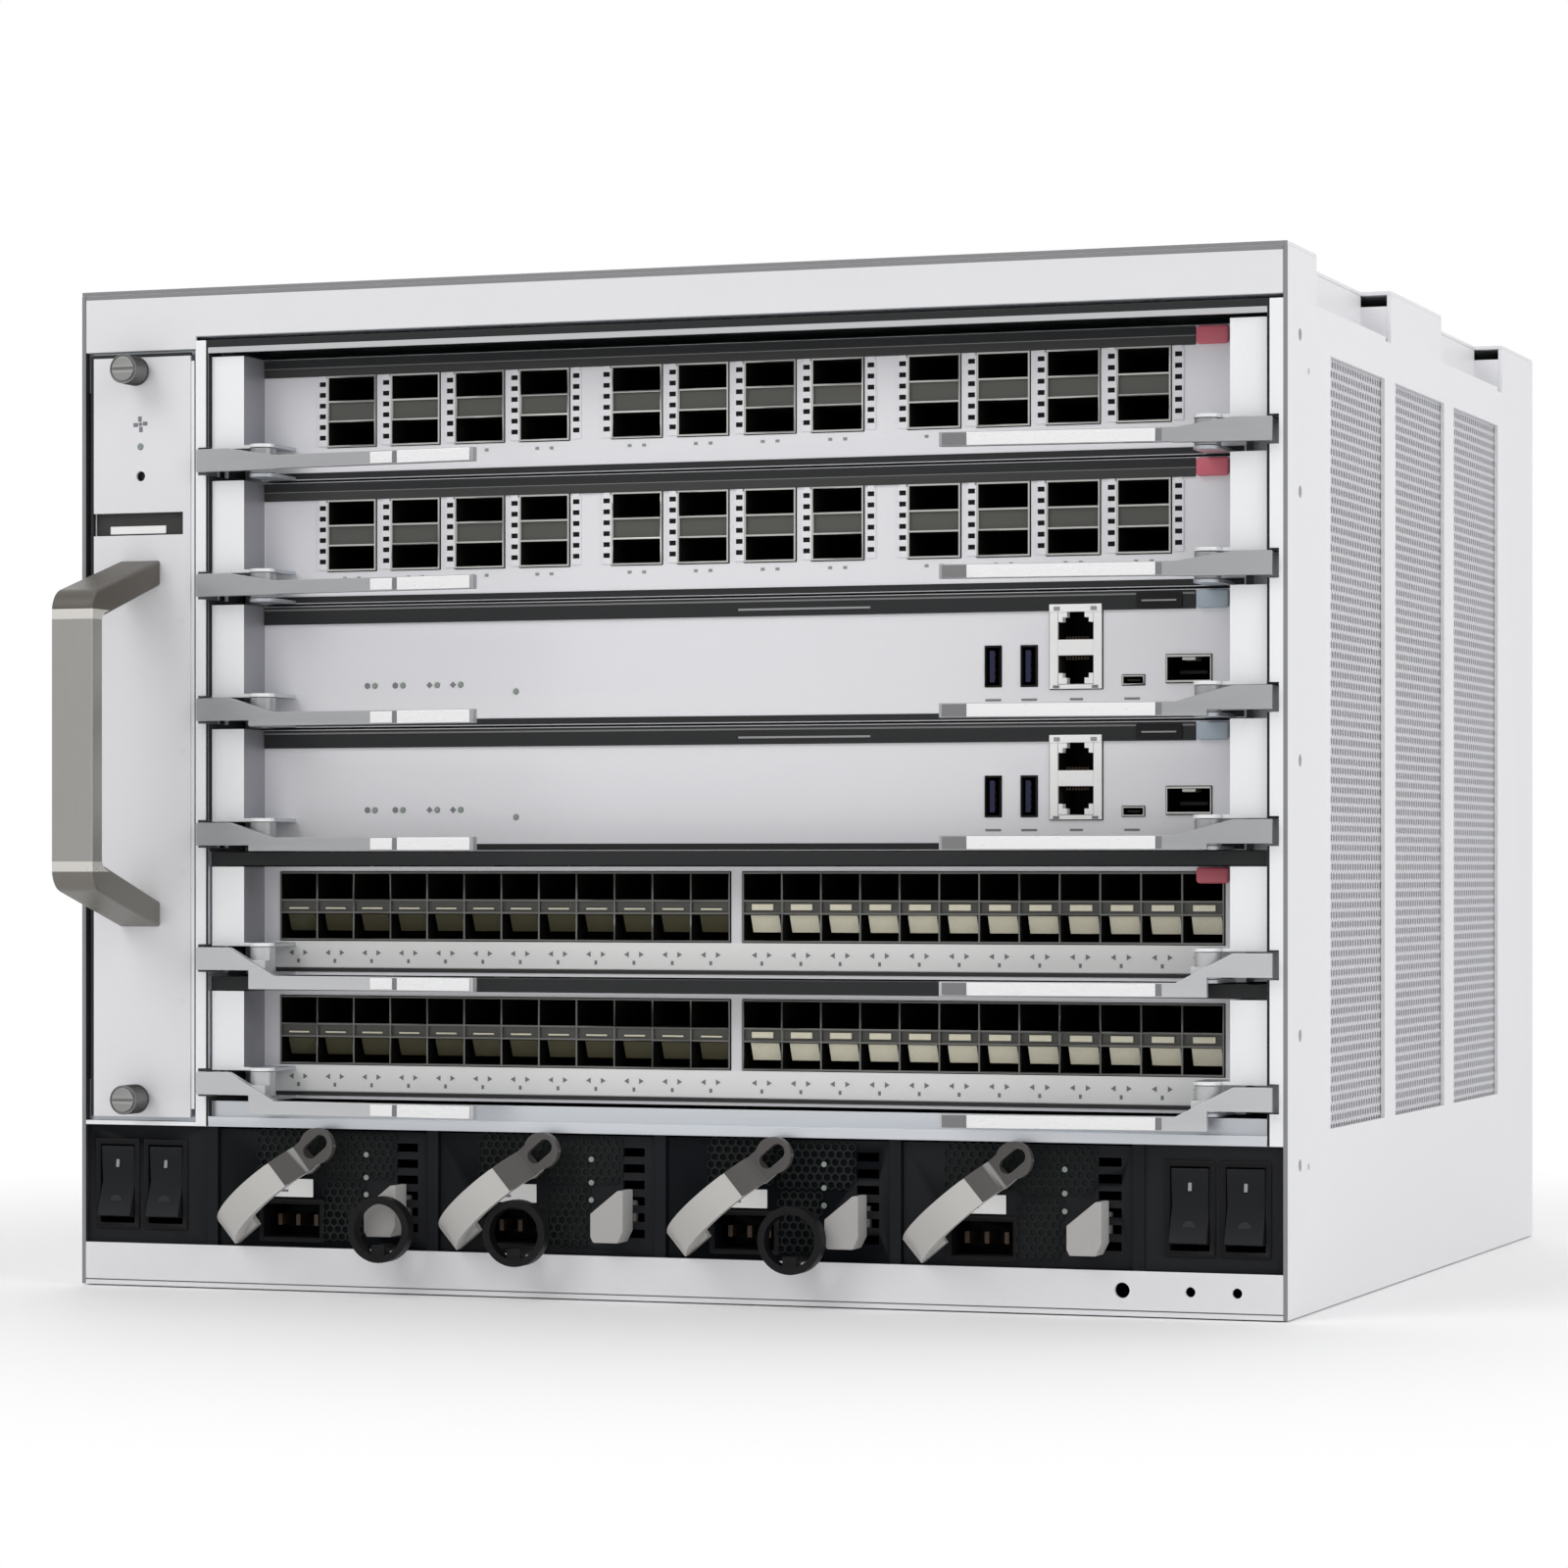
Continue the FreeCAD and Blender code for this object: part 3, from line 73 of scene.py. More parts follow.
MM = 0.001
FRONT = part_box("top_cover")[0].y
LOG = logging.getLogger("switch")
JOINTS = {joint["name"]: joint for joint in frame["joints"]}

WELD = 0.004
CELL_WELD = 0.01
FLAT_ANGLE = 0.5
SMOOTH_ANGLE = 32.0
GRAIN_DEPTH = 0.2
PROUD = 0.02


def span(node: str) -> tuple[Vector, Vector]:
    """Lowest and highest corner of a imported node.

    Args:
        node: name of the node.

    Returns:
        Both corners in millimetres, with y counted back from the front face.
    """
    low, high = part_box(node)
    shift = Vector((0.0, FRONT, 0.0))
    return (low - shift) / MM, (high - shift) / MM


def place(point: Sequence[float]) -> Vector:
    """Turn a place in millimetres, y from the front face, into the frame's metres."""
    return Vector((point[0] * MM, FRONT + point[1] * MM, point[2] * MM))


def faces_front(normal: Vector) -> bool:
    """Whether a face looks to the front."""
    return normal.y < -0.5


def front_edge(middle: Vector, normal: Vector) -> bool:
    """Whether a face is a sheet's raw edge at the very front."""
    return faces_front(normal) and middle.y < 0.4


# ---- finishes ----

def add_node(tree: bpy.types.NodeTree, kind: str, values: dict[str | int, object] | None = None,
             **settings: object) -> bpy.types.Node:
    """Add a shader node, set it and give its free inputs their values.

    Args:
        tree: node tree to add to.
        kind: type of node, without the words that all types begin with.
        values: value of each free input, by its name or number.
        settings: the node's own settings, such as its operation.

    Returns:
        The node.
    """
    node = tree.nodes.new("ShaderNode" + kind)
    for name, value in settings.items():
        setattr(node, name, value)
    for socket, value in (values or {}).items():
        node.inputs[socket].default_value = value
    return node


def wire(tree: bpy.types.NodeTree, *pairs: tuple[bpy.types.NodeSocket, bpy.types.NodeSocket]) -> None:
    """Link each output to its input."""
    for output, socket in pairs:
        tree.links.new(output, socket)


class SurfaceGroup:
    """Shader node group that gives a flat finish its grain, its smudges, and convex edges made lighter by
    pointiness, partly as rubbed metal and partly as painted highlight.
    """

    name = "surface_grain"
    smudge_scale = 0.022
    detail = 3.0
    rough_swing = 0.16
    rubbed_and_lit_colour = (0.86, 0.86, 0.87, 1.0)
    wear_start, wear_full = 0.53, 0.62

    @classmethod
    def get(cls) -> bpy.types.NodeTree:
        """Build the group the first time, and return it.

        Returns:
            The node group, with colour, roughness and height as outputs.
        """
        if cls.name in bpy.data.node_groups:
            return bpy.data.node_groups[cls.name]
        tree = bpy.data.node_groups.new(cls.name, "ShaderNodeTree")
        for way, label, kind in (
                ("INPUT", "Vector", "Vector"), ("INPUT", "Colour", "Color"), ("INPUT", "Shade", "Float"),
                ("INPUT", "Rough", "Float"), ("INPUT", "Wear", "Float"), ("OUTPUT", "Colour", "Color"),
                ("OUTPUT", "Roughness", "Float"), ("OUTPUT", "Height", "Float")):
            tree.interface.new_socket(label, in_out=way, socket_type="NodeSocket" + kind)
        given = tree.nodes.new("NodeGroupInput").outputs
        out = tree.nodes.new("NodeGroupOutput").inputs
        fine = cls.noise(tree, given["Vector"], 1.0)
        smudge = cls.noise(tree, given["Vector"], cls.smudge_scale)
        both = add_node(tree, "Math")
        centred = add_node(tree, "Math", {1: 1.0}, operation="SUBTRACT")
        swing = add_node(tree, "Math", {2: 1.0}, operation="MULTIPLY_ADD")
        tint = add_node(tree, "VectorMath", operation="SCALE")
        # Convex edges lightened by pointiness: partly rubbed metal, partly painted highlight.
        rubbed_and_lit = add_node(tree, "Mix", {"B": cls.rubbed_and_lit_colour}, data_type="RGBA")
        edge = add_node(tree, "MapRange", {"From Min": cls.wear_start, "From Max": cls.wear_full})
        rough = add_node(tree, "Math", {1: cls.rough_swing}, operation="MULTIPLY_ADD")
        shape = add_node(tree, "NewGeometry")
        wire(tree,
             (fine.outputs["Fac"], both.inputs[0]), (smudge.outputs["Fac"], both.inputs[1]),
             (both.outputs[0], centred.inputs[0]), (centred.outputs[0], swing.inputs[0]),
             (given["Shade"], swing.inputs[1]), (given["Colour"], tint.inputs[0]),
             (swing.outputs[0], tint.inputs["Scale"]), (tint.outputs[0], rubbed_and_lit.inputs["A"]),
             (shape.outputs["Pointiness"], edge.inputs["Value"]), (given["Wear"], edge.inputs["To Max"]),
             (edge.outputs[0], rubbed_and_lit.inputs["Factor"]), (centred.outputs[0], rough.inputs[0]),
             (given["Rough"], rough.inputs[2]), (rubbed_and_lit.outputs["Result"], out["Colour"]),
             (rough.outputs[0], out["Roughness"]), (fine.outputs["Fac"], out["Height"]))
        return tree

    @classmethod
    def noise(cls, tree: bpy.types.NodeTree, vector: bpy.types.NodeSocket, scale: float) -> bpy.types.Node:
        """Noise texture on the given coordinates.

        Args:
            tree: node tree to add to.
            vector: socket that carries the coordinates.
            scale: features for each unit of the coordinates.

        Returns:
            The noise node.
        """
        node = add_node(tree, "TexNoise", {"Scale": scale, "Detail": cls.detail})
        wire(tree, (vector, node.inputs["Vector"]))
        return node


@dataclass(frozen=True)
class Finish:
    """A surface finish: colour, gloss, and the grain that the real one shows.

    Attributes:
        colour: linear base colour.
        roughness: mean roughness.
        metallic: 1 for bare metal.
        grain: grains for each metre.
        shade: how far the colour swings.
        relief: strength of the grain as relief.
        stretch: grain scale along each axis, for brushed or rolled metal.
        wear: how bright the convex edges are made, as rubbed metal and as painted highlight.
        coat: weight of a clear coat.
        gloss: how strongly a bare surface mirrors, 0.5 for plain plastic.
    """

    colour: Point
    roughness: float = 0.5
    metallic: float = 0.0
    grain: float = 1400.0
    shade: float = 0.05
    relief: float = 0.12
    stretch: Point = (1.0, 1.0, 1.0)
    wear: float = 0.0
    coat: float = 0.0
    gloss: float = 0.5

    def build(self, name: str) -> bpy.types.Material:
        """Make the material.

        Args:
            name: name of the material.

        Returns:
            A node material on object coordinates.
        """
        material = bpy.data.materials.new(name)
        material.use_nodes = True
        tree = material.node_tree
        shader = tree.nodes["Principled BSDF"]
        shader.inputs["Metallic"].default_value = self.metallic
        shader.inputs["Coat Weight"].default_value = self.coat
        shader.inputs["Specular IOR Level"].default_value = self.gloss
        where = add_node(tree, "TexCoord")
        scale = add_node(tree, "Mapping", {"Scale": [self.grain * along for along in self.stretch]})
        grain = add_node(tree, "Group", {"Colour": (*self.colour, 1.0), "Shade": self.shade,
                                         "Rough": self.roughness, "Wear": self.wear},
                         node_tree=SurfaceGroup.get())
        bump = add_node(tree, "Bump", {"Strength": self.relief, "Distance": GRAIN_DEPTH * MM})
        wire(tree,
             (where.outputs["Object"], scale.inputs["Vector"]),
             (scale.outputs["Vector"], grain.inputs["Vector"]),
             (grain.outputs["Colour"], shader.inputs["Base Color"]),
             (grain.outputs["Roughness"], shader.inputs["Roughness"]),
             (grain.outputs["Height"], bump.inputs["Height"]),
             (bump.outputs["Normal"], shader.inputs["Normal"]))
        return material


ROLLED = (0.04, 1.0, 1.0)


class Look(Enum):
    """Every finish on the switch."""

    CASE_PAINT = Finish((0.80, 0.80, 0.825), 0.46, shade=0.03, wear=0.25)
    EDGE_GREY = Finish((0.24, 0.24, 0.25), 0.46, shade=0.05)
    INSIDE_GREY = Finish((0.045, 0.045, 0.048), 0.6, shade=0.1, gloss=0.1)
    VENT_PAINT = Finish((0.60, 0.60, 0.63), 0.5, shade=0.03)
    FACE_PAINT = Finish((0.80, 0.795, 0.83), 0.42, shade=0.03, wear=0.2)
    FLANGE_NICKEL = Finish((0.91, 0.92, 0.93), 0.34, 0.15, shade=0.03, relief=0.05)
    RECESS_ZINC = Finish((0.34, 0.34, 0.37), 0.42, 0.4, stretch=ROLLED)
    ZINC = Finish((0.52, 0.55, 0.59), 0.36, 0.7, 900.0, 0.10, 0.08, ROLLED, 0.3)
    POST_PAINT = Finish((0.92, 0.93, 0.94), 0.38, 0.1, shade=0.03)
    LEVER_ALLOY = Finish((0.36, 0.365, 0.375), 0.34, 0.45, 700.0, 0.08, 0.06, ROLLED, 0.3)
    LEVER_SATIN = Finish((0.52, 0.525, 0.535), 0.34, 0.4, 700.0, 0.08, 0.06, ROLLED, 0.3)
    LEVER_POLISH = Finish((0.88, 0.88, 0.89), 0.28, 0.25, 700.0, 0.03, 0.04, ROLLED, 0.3)
    LEVER_TIP = Finish((0.13, 0.13, 0.135), 0.36, 0.3, 700.0, 0.06, 0.06, ROLLED, 0.2)
    BAND_DARK = Finish((0.026, 0.027, 0.028), 0.50, grain=2600.0, relief=0.3, gloss=0.15)
    BAND_LOW = Finish((0.048, 0.048, 0.047), 0.46, 0.2, stretch=ROLLED, gloss=0.2)
    BAND_LINE = Finish((0.17, 0.17, 0.17), 0.42, 0.3, stretch=ROLLED)
    STRIP_GREY = Finish((0.088, 0.087, 0.080), 0.46, 0.2, gloss=0.3)
    TAB_RED = Finish((0.62, 0.13, 0.175), 0.42)
    TAB_BLUE = Finish((0.37, 0.43, 0.49), 0.42)
    CAGE_STEEL = Finish((0.47, 0.47, 0.45), 0.40, 0.6, 900.0, 0.10)
    CAGE_CREAM = Finish((0.84, 0.80, 0.63), 0.42, 0.05, 900.0, 0.14)
    CAGE_OLIVE = Finish((0.075, 0.068, 0.034), 0.40, 0.4, 900.0, 0.16)
    CAGE_DARK = Finish((0.008, 0.008, 0.007), 0.5, gloss=0.08)
    DIVIDER_GREY = Finish((0.16, 0.16, 0.15), 0.42, 0.4)
    GRIP_SATIN = Finish((0.33, 0.32, 0.305), 0.36, 0.5, 900.0, 0.06, 0.1, (1.0, 1.0, 0.05), 0.3)
    GRIP_ARM = Finish((0.085, 0.075, 0.062), 0.44, 0.15, 900.0, 0.16, 0.1, (1.0, 0.08, 1.0), 0.3)
    GRIP_FOOT = Finish((0.18, 0.17, 0.15), 0.40, 0.4, 900.0, 0.10, 0.1, (1.0, 0.08, 1.0), 0.3)
    GRIP_COLLAR = Finish((0.66, 0.64, 0.60), 0.32, 0.4)
    STRAP_GREY = Finish((0.46, 0.44, 0.41), 0.46, grain=2200.0, relief=0.25, wear=0.2)
    STRAP_DARK = Finish((0.085, 0.080, 0.076), 0.42, grain=2200.0, relief=0.25, wear=0.3, gloss=0.3)
    WEDGE_GREY = Finish((0.42, 0.41, 0.40), 0.5, grain=2200.0, relief=0.3, wear=0.2)
    KNOB_ALLOY = Finish((0.20, 0.20, 0.195), 0.36, 0.6, 1200.0, 0.10, 0.08, (1.0, 0.1, 1.0), 0.5)
    SUPPLY_BLACK = Finish((0.005, 0.006, 0.008), 0.55, grain=1800.0, relief=0.25, wear=0.02, gloss=0.03)
    MOULD_BLACK = Finish((0.006, 0.006, 0.007), 0.46, grain=2400.0, relief=0.35, wear=0.02, gloss=0.12)
    GRILLE_GREY = Finish((0.014, 0.017, 0.016), 0.46, grain=2400.0, relief=0.3, gloss=0.1)
    ROCKER_GREY = Finish((0.010, 0.011, 0.013), 0.42, grain=2400.0, relief=0.2, wear=0.03, gloss=0.12)
    SHELF_DARK = Finish((0.012, 0.013, 0.016), 0.5, gloss=0.1)
    BOARD_GREEN = Finish((0.020, 0.085, 0.045), 0.36, grain=420.0, shade=0.5, relief=0.2, coat=0.3)
    SINK_BLACK = Finish((0.030, 0.030, 0.034), 0.38, 0.6, stretch=(1.0, 0.05, 1.0))
    LABEL_WHITE = Finish((0.94, 0.94, 0.93), 0.55, shade=0.02, relief=0.05)
    MARK_GREY = Finish((0.30, 0.30, 0.31), 0.5, shade=0.1)
    PRINT_GREY = Finish((0.20, 0.20, 0.22), 0.5, shade=0.1)
    LENS_CLEAR = Finish((0.22, 0.27, 0.23), 0.15, shade=0.05, relief=0.02, coat=0.8)
    PORT_NAVY = Finish((0.010, 0.012, 0.050), 0.40, gloss=0.3)
    CONTACT_BRONZE = Finish((0.060, 0.038, 0.024), 0.42, 0.5)
    FAN_BLACK = Finish((0.020, 0.020, 0.022), 0.40, grain=1600.0, relief=0.3)
    SCREW_ZINC = Finish((0.50, 0.50, 0.52), 0.32, 0.9, wear=0.3)

    @property
    def material(self) -> bpy.types.Material:
        """The finish's material, made the first time it is asked for."""
        name = self.name.lower()
        return bpy.data.materials.get(name) or self.value.build(name)


# ---- modelling steps ----

class Bench:
    """Modelling steps that every sub-assembly shares.  Sizes are in millimetres."""

    @staticmethod
    def take(*pieces: Obj) -> Obj:
        """Select these pieces alone, with the first one active.

        Args:
            pieces: objects to select.

        Returns:
            The active object.
        """
        if bpy.context.object and bpy.context.object.mode != "OBJECT":
            bpy.ops.object.mode_set(mode="OBJECT")
        bpy.ops.object.select_all(action="DESELECT")
        for piece in pieces:
            piece.select_set(True)
        bpy.context.view_layer.objects.active = pieces[0]
        return pieces[0]

    @staticmethod
    def settle(piece: Obj) -> Obj:
        """Move a piece's place, turn and size into its mesh."""
        Bench.take(piece)
        bpy.ops.object.transform_apply(location=True, rotation=True, scale=True)
        return piece

    @staticmethod
    def finish(piece: Obj, edge: float, look: Look | None) -> Obj:
        """Round a new primitive's edges and paint it, where that is asked for.

        Args:
            piece: the primitive.
            edge: radius of the edges, or 0 for none.
            look: finish, or None to leave it bare.

        Returns:
            The same object.
        """
        Bench.settle(piece)
        if edge:
            Bench.bevel(piece, edge)
        return Bench.paint(piece, look) if look else piece

    @staticmethod
    def block(low: Sequence[float], high: Sequence[float], edge: float = 0.15,
              look: Look | None = None) -> Obj:
        """Block between two corners, with rounded edges.

        Args:
            low: lowest corner.
            high: highest corner.
            edge: radius of the edges, or 0 for none.
            look: finish, if it is the same all over.

        Returns:
            The block.
        """
        low, high = place(low), place(high)
        bpy.ops.mesh.primitive_cube_add(size=1.0, location=(low + high) / 2, scale=high - low)
        return Bench.finish(bpy.context.object, edge, look)

    @staticmethod
    def rod(centre: Point, radius: float, length: float, axis: str = "Y", sides: int = 32,
            look: Look | None = None, edge: float = 0.0) -> Obj:
        """Round bar or disc.

        Args:
            centre: middle of the bar.
            radius: radius.
            length: length along the axis.
            axis: X, Y or Z.
            sides: number of sides.
            look: finish, if it is the same all over.
            edge: radius of the rims, or 0 for none.

        Returns:
            The bar.
        """
        turn = {"X": (0.0, math.pi / 2, 0.0), "Y": (math.pi / 2, 0.0, 0.0), "Z": (0.0, 0.0, 0.0)}[axis]
        bpy.ops.mesh.primitive_cylinder_add(vertices=sides, radius=radius * MM, depth=length * MM,
                                            location=place(centre), rotation=turn)
        return Bench.finish(bpy.context.object, edge, look)

    @staticmethod
    def modify(piece: Obj, kind: str, **values: object) -> Obj:
        """Add a modifier, set it and apply it.

        Args:
            piece: object to change.
            kind: type of modifier.
            values: its settings.

        Returns:
            The same object.
        """
        Bench.take(piece)
        modifier = piece.modifiers.new(kind.lower(), kind)
        for name, value in values.items():
            setattr(modifier, name, value)
        bpy.ops.object.modifier_apply(modifier=modifier.name)
        return piece

    @staticmethod
    def bevel(piece: Obj, width: float, segments: int = 2, angle: float = 35.0) -> Obj:
        """Round the sharp edges of a piece."""
        return Bench.modify(piece, "BEVEL", width=width * MM, segments=segments, limit_method="ANGLE",
                            angle_limit=math.radians(angle), harden_normals=False)

    @staticmethod
    def repeat(piece: Obj, count: int, step: Point) -> Obj:
        """Copy a piece in a straight row."""
        return Bench.modify(piece, "ARRAY", count=count, use_relative_offset=False, use_constant_offset=True,
                            constant_offset_displace=[along * MM for along in step])

    @staticmethod
    def cut(piece: Obj, *tools: Obj) -> Obj:
        """Take tools out of a piece, and delete them.

        Args:
            piece: object to cut.
            tools: shapes to take out of it.

        Returns:
            The same object.
        """
        tool = Bench.join(*tools)
        Bench.modify(piece, "BOOLEAN", operation="DIFFERENCE", object=tool, solver="EXACT")
        bpy.data.objects.remove(tool)
        return piece

    @staticmethod
    def join(*pieces: Obj) -> Obj:
        """Make one object of several.

        Args:
            pieces: objects to join.

        Returns:
            The first of them, which holds all.
        """
        first = Bench.take(*pieces)
        if len(pieces) > 1:
            bpy.ops.object.join()
        return first

    @staticmethod
    def twin(piece: Obj, shift: Point) -> Obj:
        """Copy of a piece with its own mesh, moved.

        Args:
            piece: object to copy.
            shift: how far the copy moves.

        Returns:
            The copy.
        """
        Bench.take(piece)
        bpy.ops.object.duplicate()
        other = bpy.context.object
        other.location = Vector(shift) * MM
        return Bench.settle(other)

    @staticmethod
    def scatter(piece: Obj, shifts: Sequence[Point]) -> Obj:
        """A piece and its moved copies as one object."""
        return Bench.join(piece, *[Bench.twin(piece, shift) for shift in shifts])

    @staticmethod
    def turn(piece: Obj, degrees: float, pivot: Sequence[float], axis: str) -> Obj:
        """Turn a piece about a line through a pivot.

        Args:
            piece: object to turn.
            degrees: how far it turns.
            pivot: a point of the line in millimetres.
            axis: direction of the line, X, Y or Z.

        Returns:
            The same object.
        """
        centre = place(pivot)
        spin = Matrix.Rotation(math.radians(degrees), 4, axis)
        about = Matrix.Translation(centre) @ spin @ Matrix.Translation(-centre)
        piece.matrix_world = about @ piece.matrix_world
        return Bench.settle(piece)

    @staticmethod
    def mark(piece: Obj, test: Test) -> int:
        """Select a piece's faces by their place and normal.

        Args:
            piece: object to select on.
            test: takes a face's middle in millimetres and its normal.

        Returns:
            How many faces are selected.
        """
        Bench.take(piece)
        mesh = piece.data
        for items in (mesh.vertices, mesh.edges):
            items.foreach_set("select", [False] * len(items))
        count = 0
        for polygon in mesh.polygons:
            middle = (polygon.center - Vector((0.0, FRONT, 0.0))) / MM
            polygon.select = test(middle, polygon.normal)
            count += polygon.select
        return count

    @staticmethod
    def edit_all() -> None:
        """Go to edit mode on the active object, with all of it selected."""
        bpy.ops.object.mode_set(mode="EDIT")
        bpy.ops.mesh.select_all(action="SELECT")

    @staticmethod
    def split(piece: Obj, spot: Sequence[float], normal: Point) -> Obj:
        """Score a piece along a plane, so that each side can have its own finish.

        Args:
            piece: object to score.
            spot: a point of the plane in millimetres.
            normal: direction of the plane.

        Returns:
            The same object.
        """
        Bench.take(piece)
        Bench.edit_all()
        bpy.ops.mesh.bisect(plane_co=place(spot), plane_no=normal)
        bpy.ops.object.mode_set(mode="OBJECT")
        return piece

    @staticmethod
    def inset(piece: Obj, test: Test, thickness: float, depth: float) -> Obj:
        """Inset the faces that pass a test, and push the middle in or out.

        Args:
            piece: object to shape.
            test: picks the faces.
            thickness: width of the rim.
            depth: how far the middle moves out, negative for in.

        Returns:
            The same object.
        """
        if Bench.mark(piece, test):
            bpy.ops.object.mode_set(mode="EDIT")
            bpy.ops.mesh.inset(thickness=thickness * MM, depth=depth * MM)
            bpy.ops.object.mode_set(mode="OBJECT")
        return piece

    @staticmethod
    def paint(piece: Obj, look: Look, test: Test | None = None) -> Obj:
        """Give a finish to a piece, or to the faces of it that pass a test.

        Args:
            piece: object to paint.
            look: finish.
            test: picks the faces, or None for all.

        Returns:
            The same object.
        """
        materials = piece.data.materials
        if test is None:
            materials.clear()
            materials.append(look.material)
            return piece
        if look.material.name not in materials:
            materials.append(look.material)
        index = materials.find(look.material.name)
        Bench.mark(piece, test)
        for polygon in piece.data.polygons:
            if polygon.select:
                polygon.material_index = index
        return piece

    @staticmethod
    def traced(node: str, look: Look, edge: float = 0.0, segments: int = 2) -> Obj:
        """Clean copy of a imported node, with its triangles merged and its edges rounded.

        Args:
            node: node to copy.
            look: finish.
            edge: radius of the edges, or 0 for none.
            segments: steps across each rounded edge.

        Returns:
            The copy.
        """
        Bench.take(frame["nodes"][node])
        bpy.ops.object.duplicate()
        piece = bpy.context.object
        piece.parent = None
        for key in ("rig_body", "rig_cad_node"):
            del piece[key]
        Bench.edit_all()
        bpy.ops.mesh.remove_doubles(threshold=WELD * MM)
        bpy.ops.mesh.beautify_fill(angle_limit=math.radians(FLAT_ANGLE))
        bpy.ops.mesh.dissolve_limited(angle_limit=math.radians(FLAT_ANGLE))
        bpy.ops.object.mode_set(mode="OBJECT")
        if edge:
            Bench.bevel(piece, edge, segments)
        return Bench.paint(piece, look)

    @staticmethod
    def deliver(piece: Obj, name: str, body: str, slot: str | None = None,
                stands_for: Sequence[str] = ()) -> Obj:
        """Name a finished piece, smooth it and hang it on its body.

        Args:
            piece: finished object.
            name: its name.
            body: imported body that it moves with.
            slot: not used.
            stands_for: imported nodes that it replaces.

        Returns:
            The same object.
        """
        Bench.settle(piece)
        bpy.ops.object.shade_smooth_by_angle(angle=math.radians(SMOOTH_ANGLE))
        Bench.modify(piece, "WEIGHTED_NORMAL", keep_sharp=True, weight=100)
        piece.name = name
        piece.data.name = name
        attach(piece, body)
        if stands_for:
            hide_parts(*stands_for)
        LOG.info("%s: %d faces on %s", name, len(piece.data.polygons), body)
        return piece

    @staticmethod
    def honeycomb(corner: Point, columns: int, rows: int, pitch: float, web: float, thick: float,
                  side: int = 0) -> Obj:
        """Perforated sheet with hexagonal holes.

        Args:
            corner: middle of the first cell.
            columns: cells in each row.
            rows: number of rows, rounded up to an even number.
            pitch: distance between cells.
            web: metal between two holes.
            thick: thickness of the sheet.
            side: 0 to face the front, 1 to face right, -1 to face left.

        Returns:
            The sheet.
        """
        radius = pitch / math.sqrt(3.0)
        turn = (math.pi / 2, 0.0, side * math.pi / 2)
        bpy.ops.mesh.primitive_circle_add(vertices=6, radius=radius * MM, fill_type="NGON",
                                          location=place(corner), rotation=turn)
        piece = bpy.context.object
        bpy.ops.object.mode_set(mode="EDIT")
        bpy.ops.mesh.inset(thickness=web / 2 * MM)
        bpy.ops.mesh.delete(type="FACE")
        bpy.ops.object.mode_set(mode="OBJECT")
        Bench.settle(piece)
        along = (0.0, 1.0, 0.0) if side else (1.0, 0.0, 0.0)
        Bench.repeat(piece, columns, tuple(pitch * part for part in along))
        Bench.repeat(piece, 2, (along[0] * pitch / 2, along[1] * pitch / 2, 1.5 * radius))
        Bench.repeat(piece, (rows + 1) // 2, (0.0, 0.0, 3.0 * radius))
        Bench.edit_all()
        bpy.ops.mesh.remove_doubles(threshold=CELL_WELD * MM)
        bpy.ops.object.mode_set(mode="OBJECT")
        return Bench.modify(piece, "SOLIDIFY", thickness=thick * MM, offset=-1.0)

    @staticmethod
    def screw(centre: Point, axis: str, outward: int, radius: float = 3.2) -> Obj:
        """Flat screw head with a driver recess, facing along an axis.

        Args:
            centre: middle of the seat.
            axis: X, Y or Z.
            outward: 1 or -1 along the axis.
            radius: radius of the head.

        Returns:
            The screw head.
        """
        way = {"X": 0, "Y": 1, "Z": 2}[axis]
        height = 0.5
        seat = list(centre)
        seat[way] += outward * height / 2
        piece = Bench.rod(tuple(seat), radius, height, axis, 20, Look.SCREW_ZINC)
        Bench.inset(piece, lambda middle, normal: normal[way] * outward > 0.9, radius * 0.45, 0.0)
        Bench.inset(piece, lambda middle, normal: normal[way] * outward > 0.9 and
                    (middle - Vector(centre)).length < radius * 0.4 + height, radius * 0.06, -height * 0.7)
        return piece


# ---- chassis ----

